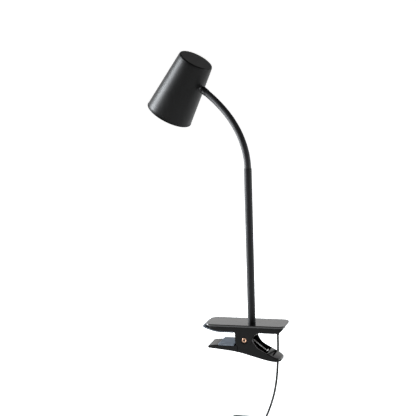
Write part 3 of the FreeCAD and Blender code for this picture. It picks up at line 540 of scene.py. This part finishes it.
def makeStrap():
    # flat band: the ring's section grown by the strap's thickness, carried sideways over its width
    look = strapLook
    a = math.radians(look["turn"])
    outward, sideways = np.array([math.cos(a), math.sin(a), 0]), np.array([-math.sin(a), math.cos(a), 0])
    middle = np.array([*cordLook["coilMiddle"], 0])

    def swept(section):
        # middle + outward * radius + sideways * shift, at each point's height
        return np.stack([middle + p[:, :1] * outward + shift * sideways + p[:, 1:] * [0, 0, 1]
                         for p, shift in section])

    half, thick = look["wide"] / 2, look["thick"]
    inside = ringPath((look["inner"], look["low"]), (look["outer"], look["high"]), look["corner"])
    outside = ringPath((look["inner"] - thick, look["low"] - thick),
                       (look["outer"] + thick, look["high"] + thick), look["corner"] + thick)
    inset = half - look["edge"]
    rings = swept([(inside, -half), (outside, -inset), (outside, inset), (inside, half)])
    # the free end of the strap lies over itself on the outer side
    top = look["high"] - 2.0
    x = look["outer"] + thick
    heights = np.linspace(top, top - look["tab"], look["rows"])
    lift = 0.12 + 0.5 * np.linspace(0, 1, look["rows"]) ** 2
    under, over = (np.stack([x + lift + d, heights], -1) for d in (-0.1, thick))
    strips = swept([(under, -half), (over, -inset), (over, inset), (under, half)])
    ends = [[k * look["rows"] + i for k in range(4)] for i in (0, look["rows"] - 1)]
    points, faces = joinParts([(rings, gridFaces(4, len(inside), True, True)),
                               (strips, gridFaces(4, look["rows"], True, False) + ends)])
    return newPiece("coilStrap", points * mm, faces, "base", strapCloth, sharp=40)


bootLook = {"middle": (0.0652, 0.0245, 0), "top": 8.0, "low": -12.0, "wide": 3.1, "narrow": 2.15, "ribs": 6,
            "groove": 0.45}


def makeBoot():
    # bending relief: radius falls from wide to narrow, with soft grooves below the outlet
    look = bootLook
    z = np.linspace(look["low"], look["top"], 120)
    radius = np.interp(z, [look["low"], 1.0], [look["narrow"], look["wide"]])
    share = np.clip((z - look["low"] - 1.5) / 11, 0, 1)
    wave = np.clip(np.cos(2 * np.pi * share * look["ribs"]), -1, 0.2) - 0.2
    radius = radius + look["groove"] * np.where((share > 0) & (share < 1), wave, 0) * 0.8
    profile = [(0, look["low"]), (look["narrow"] - 0.3, look["low"])]
    profile += np.stack([radius[2:], z[2:]], -1).tolist() + [(0, look["top"])]
    boot = turnedPiece("cordBoot", np.array(profile) * mm, Matrix.Translation(look["middle"]), "base",
                       cordSkin, segments=48)
    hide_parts("cord_boot")
    return boot


cord = makeCord()
strap = makeStrap()
boot = makeBoot()
print("cord, boot and strap made")


def curveThrough(*corners):
    # height as a function of x: a smooth line through the corners, read off by straight steps
    line = smoothCurve(corners, 12)
    order = np.argsort(line[:, 0], kind="stable")
    return lambda x: np.interp(x, line[order, 0], line[order, 1])


def planHalf(low, high, half, corner):
    # half width of a rounded rectangle's plan at x: half - corner + sqrt(corner^2 - (corner - d)^2)
    def halfAt(x):
        d = np.clip(np.minimum(x - low, high - x), 0, corner)
        return half - corner + np.sqrt(corner ** 2 - (corner - d) ** 2)
    return halfAt


def endStations(low, high, rounds, spacing=2.5):
    # x values from low to high, closer where the ends round off
    d = np.concatenate([r * (1 - np.cos(np.radians(np.linspace(0, 90, 10)))) for r in rounds])
    middle = np.arange(low + max(rounds), high - max(rounds), spacing)
    return np.unique(np.round(np.concatenate([low + d, middle, high - d]), 5))


def loft(low, high, halfOf, lowOf, highOf, corner, planRound=0.0, middleY=0.0, spacing=2.5):
    # at each x a rounded rectangle, halfOf(x) wide each way, from lowOf(x) to highOf(x); all its
    # sides close in by corner - sqrt(corner^2 - (corner - d)^2) at a distance d below corner from an end
    x = endStations(low, high, [corner, planRound] if planRound else [corner], spacing)[:, None]
    d = np.clip(np.minimum(x - low, high - x), 0, corner)
    inset = corner - np.sqrt(corner ** 2 - (corner - d) ** 2)
    half, bottom, top = halfOf(x) - inset, lowOf(x) + inset, highOf(x) - inset
    c = np.minimum(np.maximum(corner - inset, 0.12 * corner), (top - bottom) / 2.05)
    quarter = np.linspace(0, 90, 6)[[0, 0, 1, 2, 3, 4, 5, 5]]
    a = np.radians(np.concatenate([90 * k + quarter for k in range(4)]))
    hold = np.tile([-0.2, 0, 0, 0, 0, 0, 0, 0.2], 4)     # flat faces start a little past the round
    signY, signZ = np.repeat([1, -1, -1, 1], 8), np.repeat([1, 1, -1, -1], 8)
    y = signY * (half - c) + c * np.cos(a) - hold * np.sin(a)
    z = np.where(signZ > 0, top - c, bottom + c) + c * np.sin(a) + np.minimum(abs(hold), c * 0.2) * np.sign(
        hold) * np.cos(a)
    points = np.stack([x + 0 * y, y + middleY, z], -1)
    return points, tubeFaces(*y.shape)


def level(height):
    # the same height at every x
    return lambda x: height + 0 * x


coverLook = {"left": -31.0, "right": 84.5, "half": 22.25, "corner": 10.0, "low": 9.0, "high": 12.0,
             "edge": 0.9}


def makeCover():
    # rounded plate: rounded rectangle in plan and in section
    look = coverLook
    points, faces = loft(look["left"], look["right"],
                         planHalf(look["left"], look["right"], look["half"], look["corner"]),
                         level(look["low"]), level(look["high"]), look["edge"], look["corner"])
    # the whole cover takes the lit copy of the ABS: a painted highlight over the plate
    cover = newPiece("topCover", points * mm, faces, "base", litTopAbs)
    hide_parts("top_cover")


def ringPlan(low, high, half, corner, breaks):
    # closed plan, anticlockwise from above: along the near side, round the back end, along the far side
    # and round the front, with extra stations on both sides of each break
    steps = np.concatenate([np.arange(low + corner, high - corner, 0.45)]
                           + [[b - 0.02, b + 0.02] for b in breaks])
    x = np.unique(np.append(steps, high - corner))
    near = np.stack([x, np.full(len(x), -half)], -1)
    backBend = arcPoints((high - corner, corner - half), corner, -90, 0, 12)[1:]
    across = [[high, y] for y in np.linspace(corner - half, half - corner, 24)[1:-1]]
    farBend = arcPoints((high - corner, half - corner), corner, 0, 90, 12)[:-1]
    far = near[::-1] * [1, -1]
    frontFar = arcPoints((low + corner, half - corner), corner, 90, 180, 12)[1:]
    frontAcross = [[low, y] for y in np.linspace(half - corner, corner - half, 24)[1:-1]]
    frontNear = arcPoints((low + corner, corner - half), corner, 180, 270, 12)[:-1]
    return np.array(near.tolist() + backBend + across + farBend + far.tolist() + frontFar + frontAcross
                    + frontNear)


def wallBand(path, lowOf, highOf, thick, edge, closed, dent=None, rows=40):
    # upright wall: a rounded section between lowOf(x) and highOf(x) carried along the plan path, with its
    # outside on the path; the dent presses the outside in by depth within radius of (x, z)
    if closed:
        step = np.roll(path, -1, 0) - np.roll(path, 1, 0)
    else:
        step = np.gradient(path, axis=0)
    step = step / np.linalg.norm(step, axis=1)[:, None]
    inward = np.stack([-step[:, 1], step[:, 0]], -1)
    low, high = lowOf(path[:, 0])[:, None], highOf(path[:, 0])[:, None]
    c = np.radians(np.linspace(0, 90, 5))
    face = np.linspace(0, 1, rows)[None, :]
    outerZ = low + edge + (high - low - 2 * edge) * face
    side, rise = edge * (1 - np.cos(c))[None, :], edge * (1 - np.sin(c))[None, :]
    columns = [(side[:, ::-1][:, :-1] + 0 * low, low + rise[:, ::-1][:, :-1]),
               (0 * outerZ, outerZ),
               (side[:, 1:] + 0 * low, high - rise[:, 1:]),
               (thick - side[:, ::-1] + 0 * low, high - rise[:, ::-1]),
               (thick - side + 0 * low, low + rise)]
    depth = np.hstack([column[0] for column in columns])
    height = np.hstack([column[1] for column in columns])
    if dent:
        reach = np.hypot(path[:, :1] - dent["x"], height - dent["z"])
        press = np.clip((dent["radius"] - reach) / 0.35, 0, 1)
        depth = depth + np.where(depth < thick / 2, dent["depth"] * press * press * (3 - 2 * press), 0)
    plan = path[:, None, :] + inward[:, None, :] * depth[..., None]
    points = np.concatenate([plan, height[..., None]], -1)
    return points, gridFaces(*height.shape, True, True) if closed else tubeFaces(*height.shape)


jawLook = {"left": -29.0, "right": 82.3, "half": 20.55, "corner": 8.3, "wall": 2.2, "edge": 0.5, "top": 9.2,
           "throat": 12.8}
noseLow = curveThrough((-29.4, 9.0), (-28.4, 7.9), (-26.6, 6.0), (-22.5, 4.3), (-17, 2.9), (-11, 2.05),
                       (-4, 2.0), (3, 2.0), (9.4, 2.0), (11.3, 1.4), (12.3, 0.3), (12.8, -1.8))
earLow = curveThrough((12.8, -13.4), (15.2, -17.2), (18.6, -19.4), (22.6, -20.1), (29.4, -20.1),
                      (33.2, -18.6), (36, -14.4), (38.2, -7.6), (40.8, -2.6), (44.6, 0.5), (50, 1.0),
                      (60, 1.0), (70, 1.0), (75.4, 1.7), (79.2, 3.8), (81.6, 6.3), (82.6, 8.2))
pivot = at("clamp_lever") / mm


def skirtLow(x):
    # the nose's line in front of the throat, the ears' line behind it
    return np.where(x < jawLook["throat"], noseLow(x), earLow(x))


def makeUpperJaw():
    # skirt wall with the rivet's recess, three fillings inside it and the boss at the cord's outlet
    look = jawLook
    path = ringPlan(look["left"], look["right"], look["half"], look["corner"], [look["throat"]])
    recess = {"x": pivot[0], "z": pivot[2], "radius": 5.2, "depth": 0.6}
    inner = planHalf(look["left"], look["right"], look["half"] - 1.2, look["corner"])
    parts = [wallBand(path, skirtLow, level(look["top"]), look["wall"], look["edge"], True, recess),
             loft(look["left"] + 0.7, 15.4, inner, lambda x: noseLow(x) + 0.15, level(look["top"]), 0.3),
             loft(15.2, 80.8, inner, level(6.0), level(look["top"]), 0.3),
             loft(77.5, 81.4, inner, lambda x: earLow(x) + 0.15, level(look["top"]), 0.3),
             loft(60.2, 70.2, level(3.4), level(1.0), level(look["top"]), 0.8, middleY=24.0)]
    points, faces = joinParts(parts)
    jaw = newPiece("upperJaw", points * mm, faces, "base", glossAbs)
    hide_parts("upper_jaw")


def closedSlab(x, y, top, bottom):
    # a grid of points under top(x, y) and over bottom(x, y), joined round the border
    rows, columns = x.shape
    upper = np.stack([x, y, top], -1).reshape(-1, 3)
    lower = np.stack([x, y, bottom], -1).reshape(-1, 3)
    faces = gridFaces(rows, columns)
    count = rows * columns
    faces += [[k + count for k in face[::-1]] for face in faces]
    border = ([j for j in range(columns)] + [i * columns + columns - 1 for i in range(1, rows)]
              + [(rows - 1) * columns + j for j in range(columns - 2, -1, -1)]
              + [i * columns for i in range(rows - 2, 0, -1)])
    faces += [[a, a + count, b + count, b] for a, b in zip(border, border[1:] + border[:1])]
    return np.vstack([upper, lower]), faces


# from 14 mm along, the lever's upward faces get a painted highlight, the lit copy of the ABS
leverLook = {"half": 18.0, "wall": 2.4, "edge": 0.55, "tip": 77.0, "tipCorner": 11.0, "floor": 2.5,
             "thumbStart": 57.6, "slotMiddle": 65.6, "slotHalf": 0.9, "slotLong": 12.5, "slotDepth": 3.0,
             "padRaise": 0.5, "padRound": 1.6, "border": 0.35, "litTopStart": 14.0}
leverLow = curveThrough((-28.4, -23.9), (-14, -25.1), (1.5, -26.7), (12, -28.1), (22.2, -30.0), (37, -33.9),
                        (52.4, -38.0), (63.3, -40.2), (72, -41.2), (77.2, -41.3))
leverHigh = curveThrough((12, -18.6), (15.0, -17.0), (17.0, -13.6), (18.4, -7.0), (20.6, -3.1), (24.0, -1.2),
                         (28.6, -1.2), (32.2, -3.0), (35.4, -6.4), (37.5, -10.0), (39.7, -15.0), (43.2, -20.3),
                         (47.4, -23.7), (52, -26.2), (57.6, -29.3), (64, -32.7), (70.1, -35.7), (77.2, -38.9))


def thumbPad():
    # crowned tongue between the walls: top = wall height + raise - rounded border - slot
    look = leverLook
    end = look["tip"] - look["border"]
    x = endStations(look["thumbStart"], end, [look["padRound"], look["tipCorner"] - 1], 0.5)
    x = np.unique(np.append(x, look["slotMiddle"] + np.linspace(-1.4, 1.4, 21)))[:, None]
    v = np.sin(np.radians(np.linspace(-90, 90, 120)))
    v = np.unique(np.append(v, np.linspace(-0.84, 0.84, 60)))[None, :]
    halfOf = planHalf(look["thumbStart"] - 30, end, look["half"] - look["border"],
                      look["tipCorner"] - look["border"])
    y = v * halfOf(x)
    x = x + 0 * y
    edgeDistance = np.minimum(np.minimum(halfOf(x) - abs(y), end - x), x - look["thumbStart"])
    d = np.clip(edgeDistance, 0, look["padRound"])
    drop = look["padRound"] - np.sqrt(look["padRound"] ** 2 - (look["padRound"] - d) ** 2)
    along = np.clip((look["slotHalf"] + 0.15 - abs(x - look["slotMiddle"])) / 0.3, 0, 1)
    across = np.clip((look["slotLong"] - abs(y)) / 0.6, 0, 1)
    crown = 0.35 * np.cos(np.pi / 2 * np.clip(y / look["half"], -1, 1))
    top = leverHigh(x) + look["padRaise"] + crown - drop - look["slotDepth"] * along * across
    return closedSlab(x, y, top, leverLow(x) + 0.5)


def leverPlan(start):
    # open plan: from the channel's start along the near wall, round the tip and back along the far wall
    look = leverLook
    x = np.arange(start, look["tip"] - look["tipCorner"], 0.45)
    near = np.stack([x, np.full(len(x), -look["half"])], -1).tolist()
    middle = look["tip"] - look["tipCorner"]
    bend = arcPoints((middle, look["tipCorner"] - look["half"]), look["tipCorner"], -90, 0, 20)
    across = [[look["tip"], y] for y in np.linspace(bend[-1][1], -bend[-1][1], 16)[1:-1]]
    path = near + bend + across
    return np.array(path + (np.array(near + bend)[::-1] * [1, -1]).tolist())


def makeLowerJaw():
    # solid jaw in front, then two walls with a floor between them and the thumb pad over their end
    look = leverLook
    jawTop = curveThrough((-28.4, -20.6), (-20, -19.4), (-13, -19.0), (0, -19.0), (10, -19.0), (15, -17.0),
                          (17, -13.6))
    channelLow = 16.4
    inner = level(look["half"] - 1.4)
    parts = [loft(-28.0, channelLow, level(look["half"]), leverLow, jawTop, 0.8, spacing=1.0),
             wallBand(leverPlan(channelLow - 1.5), leverLow, leverHigh, look["wall"], look["edge"], False),
             loft(channelLow - 1, look["thumbStart"] + 2, inner, lambda x: leverLow(x) + 0.05,
                  lambda x: leverLow(x) + look["floor"], 0.5, spacing=1.0),
             thumbPad()]
    points, faces = joinParts(parts)
    lever = newPiece("lowerJaw", points * mm, faces, "lever", glossAbs, sharp=50)
    # painted highlight: faces that point up, past the start given in leverLook, take the lit copy of the ABS
    lever.data.materials.append(litTopAbs)
    x, up = np.array([(face.center.x, face.normal.z) for face in lever.data.polygons]).T
    litTopFaces = (x > look["litTopStart"] * mm) & (up > 0.3)
    lever.data.polygons.foreach_set("material_index", litTopFaces.astype(int))
    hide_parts("lower_jaw")


padLook = {"half": 19.35, "edge": 0.45}


def makePads():
    # strips between two lines of height; the upper one turns up round the nose
    upperLow = curveThrough((-35.2, 8.1), (-33.8, 6.9), (-31.0, 5.3), (-26.6, 3.7), (-22, 2.1), (-16, 0.8),
                            (-10, 0.0), (-4, 0.0), (4, 0.0), (10.6, 0.0))
    upperHigh = curveThrough((-35.2, 8.5), (-33.4, 8.8), (-30.6, 8.1), (-26.6, 6.2), (-22, 4.4), (-16, 2.9),
                             (-10, 2.15), (-4, 2.1), (4, 2.1), (10.6, 2.1))
    points, faces = loft(-35.1, 10.6, level(padLook["half"]), upperLow, upperHigh, padLook["edge"],
                         spacing=0.8)
    upper = newPiece("upperPad", points * mm, faces, "base", padRubber)
    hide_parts("upper_jaw_pad")
    points, faces = loft(-12.4, 10.6, level(padLook["half"]), level(-19.1), level(-17.0), padLook["edge"])
    lower = newPiece("lowerPad", points * mm, faces, "lever", padRubber)
    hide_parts("lower_jaw_pad")


def pivotTurn():
    # own +Z along -Y through the pivot
    return Matrix.Translation(Vector(at("clamp_lever"))) @ Matrix.Rotation(math.pi / 2, 4, "X")


rivetLook = {"bore": 1.4, "shank": 2.6, "head": 3.35, "seat": 19.95, "proud": 0.95}


def makeRivet():
    # tube with both ends rolled out: a half ellipse from the bore over to the head's rim at each end
    look = rivetLook
    middle, half = (look["bore"] + look["head"]) / 2, (look["head"] - look["bore"]) / 2
    a = np.radians(np.linspace(0, 180, 14))
    top = np.stack([middle + half * np.cos(a), look["seat"] + 0.15 + look["proud"] * np.sin(a)], -1)
    right = [[look["shank"], 0.0], [look["shank"], look["seat"]]]
    upper = np.array(right + top.tolist())[1:]
    profile = np.vstack([upper, upper[::-1] * [1, -1]])
    rivet = turnedPiece("rivet", profile * mm, pivotTurn(), "base", copperPlate, closed=True, segments=64)
    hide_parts("hinge_rivet")


springLook = {"wire": 0.9, "ring": 5.8, "pitch": 1.86, "startTurn": 310.0, "endTurn": 52.0, "wholeTurns": 5,
              "middle": -5.0, "upperLeg": 26.0, "lowerLeg": 33.0, "hookBend": 1.6, "hookLong": 4.0}


def tubeAlong(path, radius, sides=20):
    # circle carried along the path; each ring's frame is the last one turned by the least angle
    path = np.asarray(path, float)
    tangent = np.gradient(path, axis=0)
    tangent /= np.linalg.norm(tangent, axis=1)[:, None]
    normal = np.cross(tangent[0], [0.31, 0.9, 0.2])
    frames = []
    for t in tangent:
        normal = normal - t * (normal @ t)
        normal = normal / np.linalg.norm(normal)
        frames.append(normal)
    normal = np.array(frames)
    other = np.cross(tangent, normal)
    a = np.linspace(0, 2 * np.pi, sides, endpoint=False)[None, :, None]
    points = path[:, None] + radius * (np.cos(a) * normal[:, None] + np.sin(a) * other[:, None])
    return points, tubeFaces(len(path), sides)


def makeSpring():
    # turns (ring cos a, y, ring sin a), a falling and y going forward by the pitch each turn; straight legs
    look = springLook
    first = math.radians(look["startTurn"])
    last = math.radians(look["endTurn"] - 360 * look["wholeTurns"])
    a = np.linspace(first, last, 260)
    half = look["pitch"] * (first - last) / (4 * np.pi)
    y = look["middle"] + np.linspace(half, -half, len(a))
    turns = np.stack([look["ring"] * np.cos(a), y, look["ring"] * np.sin(a)], -1)
    upperWay = np.array([-math.sin(first), 0, math.cos(first)])
    lowerWay = np.array([math.sin(last), 0, -math.cos(last)])
    upper = turns[0] + np.linspace(look["upperLeg"], 0.4, 16)[:, None] * upperWay
    lower = turns[-1] + np.linspace(0.4, look["lowerLeg"], 16)[:, None] * lowerWay
    bend = np.radians(np.linspace(10, 90, 9))[:, None]
    inwards = np.array([0, 1.0, 0])
    hook = lower[-1] + look["hookBend"] * (np.sin(bend) * lowerWay + (1 - np.cos(bend)) * inwards)
    tail = hook[-1] + np.linspace(0.5, look["hookLong"], 5)[:, None] * inwards
    path = np.vstack([upper, turns, lower, hook, tail]) + pivot
    points, faces = tubeAlong(path, look["wire"])
    spring = newPiece("torsionSpring", points * mm, faces, None, springWire)
    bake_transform(spring)
    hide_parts("torsion_spring")


makeCover()
makeUpperJaw()
makeLowerJaw()
makePads()
makeRivet()
makeSpring()
print("clamp made")


tubeLook = {"radius": 5.5, "wall": 1.0, "foot": 0.0, "round": 0.7}
neckLook = {"radius": 4.8, "sides": 48, "spacing": 1.2, "overlap": 0.4, "straight": 4.0}


def makeTube():
    # round tube whose top edge rolls in over a quarter circle
    look = tubeLook
    top = at("neck_swivel")[2] / mm
    lip = arcPoints((look["radius"] - look["round"], top - look["round"]), look["round"], 0, 90, 8)
    inner = look["radius"] - look["wall"]
    profile = [[look["radius"], look["foot"]], [look["radius"], 12.0], *lip, [inner, top],
               [inner, look["foot"]]]
    foot = at("neck_swivel") / mm * [1, 1, 0]
    tube = turnedPiece("armTube", np.array(profile) * mm, Matrix.Translation(Vector(foot * mm)), "base",
                       tubeCoat, closed=True)
    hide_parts("arm_tube")


neckEnd = at("head_swivel")
neckAlong = np.array(joints["head_swivel"]["axis"], float)
neckSide = np.array(joints["neck_bend_1"]["axis"], float)


def neckLine():
    # fifth-power polynomials in the length along the neck, through its joints, straight up at its foot
    # and along the head's swivel at its end
    spots = [at("neck_swivel")] + [at(f"neck_bend_{i}") for i in range(1, 6)] + [neckEnd]
    straight = neckLook["straight"] * mm
    ends = [spots[0] - np.array([0, 0, straight]), spots[-1] + straight * neckAlong]
    knots = np.array([ends[0]] + spots + [ends[1]])
    s = np.concatenate([[0], np.cumsum(np.linalg.norm(np.diff(knots, axis=0), axis=1))])
    s = s - s[1]
    fits = [np.polyfit(s, knots[:, k], 5) for k in range(3)]
    return s[1:-1], lambda t: np.stack([np.polyval(f, t) for f in fits], -1)


def makeNeck():
    # sleeve in five lengths that meet at the middles of the links; radius (cos a, sin a) round the line
    look = neckLook
    s, line = neckLine()
    middles = (s[1:-2] + s[2:-1]) / 2
    footMiddle, endMiddle = (s[0] + s[1]) / 2, (s[-2] + s[-1]) / 2
    cuts = [s[0], *middles, s[-1] + look["overlap"] * mm]
    bends = [footMiddle, *middles, endMiddle]
    for k in range(5):
        count = int((cuts[k + 1] - cuts[k]) / (look["spacing"] * mm)) + 2
        t = np.linspace(cuts[k], cuts[k + 1], count)
        path = line(t)
        tangent = line(t + 1e-5) - line(t - 1e-5)
        tangent /= np.linalg.norm(tangent, axis=1)[:, None]
        side = neckSide - tangent * (tangent @ neckSide)[:, None]
        side /= np.linalg.norm(side, axis=1)[:, None]
        other = np.cross(tangent, side)
        a = np.linspace(0, 2 * np.pi, look["sides"], endpoint=False)[None, :, None]
        points = path[:, None] + look["radius"] * mm * (
            np.cos(a) * side[:, None] + np.sin(a) * other[:, None])
        sleeve = newPiece(f"neckSleeve{k + 1}", points, tubeFaces(count, look["sides"]), None, sleevePvc)
        start, end = line(np.array([bends[k], bends[k + 1]]))
        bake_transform(sleeve)
        if k == 0:
            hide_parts("neck_link_0", "neck_link_1")
        else:
            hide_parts(f"neck_link_{k + 1}")


makeTube()
makeNeck()
print("tube and neck made")


headLook = {"cuffLong": 10.5, "nippleLong": 3.6, "nippleDown": 29.0, "swivel": 7.0, "mouth": 34.6,
            "top": 25.75, "long": 92.5, "wall": 1.2, "edge": 2.0, "cuff": 5.3, "rim": 0.75}


def shadeMatrix():
    # own origin at the closed end, own +Z to the mouth, own +X to the neck
    look = headLook
    a = math.radians(look["swivel"])
    axis = np.cross(neckAlong, neckSide) * math.cos(a) - neckSide * math.sin(a)
    radius = look["top"] + (look["mouth"] - look["top"]) / look["long"] * look["nippleDown"]
    reach = look["cuffLong"] + look["nippleLong"] + radius
    middle = neckEnd + (neckAlong * reach + axis * look["nippleDown"]) * mm
    across = np.cross(axis, neckAlong)
    place = np.eye(4)
    place[:3, :3] = np.stack([-neckAlong, across, -axis], -1)
    place[:3, 3] = middle
    return Matrix(place.tolist())


def makeShade():
    # cone cup turned from one closed profile: flat end, round shoulder, straight side, rolled rim, inside
    look = headLook
    slope = (look["mouth"] - look["top"]) / look["long"]
    shoulder = arcPoints((look["top"] - look["edge"], look["edge"]), look["edge"], -90,
                         math.degrees(-slope), 12)
    outside = [[0, 0], [look["top"] * 0.5, 0], [look["top"] - look["edge"] - 0.3, 0]] + shoulder
    side = [[look["top"] + slope * z, z] for z in np.linspace(look["edge"] + 2, look["long"] - 1.5, 30)]
    rim = arcPoints((look["mouth"] - 0.45, look["long"] - 0.4), look["rim"], -20, 200, 14)
    inside = [[look["top"] - look["wall"] + slope * z, z] for z in np.linspace(look["long"] - 1.5, 4.0, 30)]
    closing = [[look["top"] - look["wall"] - 1.2, 1.6], [look["top"] - look["wall"] - 2.4, look["wall"]],
               [0, look["wall"]]]
    profile = np.array(outside + side + rim + inside + closing)
    shade = turnedPiece("shadeCone", profile * mm, shadeMatrix(), "head", powderCoat, segments=128, sharp=50)
    shade.data.materials.append(whiteCoat)
    spots = np.array([face.center for face in shade.data.polygons])
    local = (spots - np.array(shadeMatrix().translation)) @ np.array(shadeMatrix())[:3, :3] / mm
    limit = look["top"] - look["wall"] / 2 + slope * local[:, 2]
    white = (np.hypot(local[:, 0], local[:, 1]) < limit) & (local[:, 2] > look["wall"] / 2) & (
        local[:, 2] < look["long"] - 1)
    shade.data.polygons.foreach_set("material_index", white.astype(int))
    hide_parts("shade")


def makeCuff():
    # short barrel with a small foot round, a fine groove and a larger round at the shade's end
    look = headLook
    turn = Vector(neckAlong).to_track_quat("Z", "Y").to_matrix().to_4x4()
    place = Matrix.Translation(Vector(neckEnd)) @ turn
    low = arcPoints((look["cuff"] - 0.8, 1.1), 0.8, -90, 0, 6)
    high = arcPoints((look["cuff"] - 1.4, look["cuffLong"] - 1.4), 1.4, 0, 90, 8)
    profile = [[0, 0.3]] + low + [[look["cuff"], 4.0], [look["cuff"] - 0.25, 4.3], [look["cuff"], 4.6]] + high
    profile.append([0, look["cuffLong"]])
    cuff = turnedPiece("neckCuff", np.array(profile) * mm, place, "head", nylonBlack, segments=64)
    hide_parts("neck_cuff")


makeShade()
makeCuff()
print("head made")


# finishes of the pieces that keep the CAD's shape
carried = {
    "spring_spool": nylonNatural, "tube_washer": zincPlate, "tube_nut": zincPlate, "cover_screws": zincPlate,
    "head_nipple": chrome, "nipple_washer": zincPlate, "nipple_nut": zincPlate, "lamp_carrier": castAluminium,
    "led_board": solderMask, "led_chip": phosphor, "reflector": metallised, "lens": opalAcrylic,
    "retaining_ring": nylonBlack, "switch_base": gritAbs, "switch_cover": gritAbs, "switch_rocker": glossAbs,
    "switch_screws": zincPlate, "plug_body": gritAbs, "plug_boot": cordSkin, "plug_pins": nickelPlate}
for nodeName, finish in carried.items():
    data = frame["nodes"][nodeName].data
    data.materials.clear()
    data.materials.append(finish)
print("finishes set on", len(carried), "nodes")
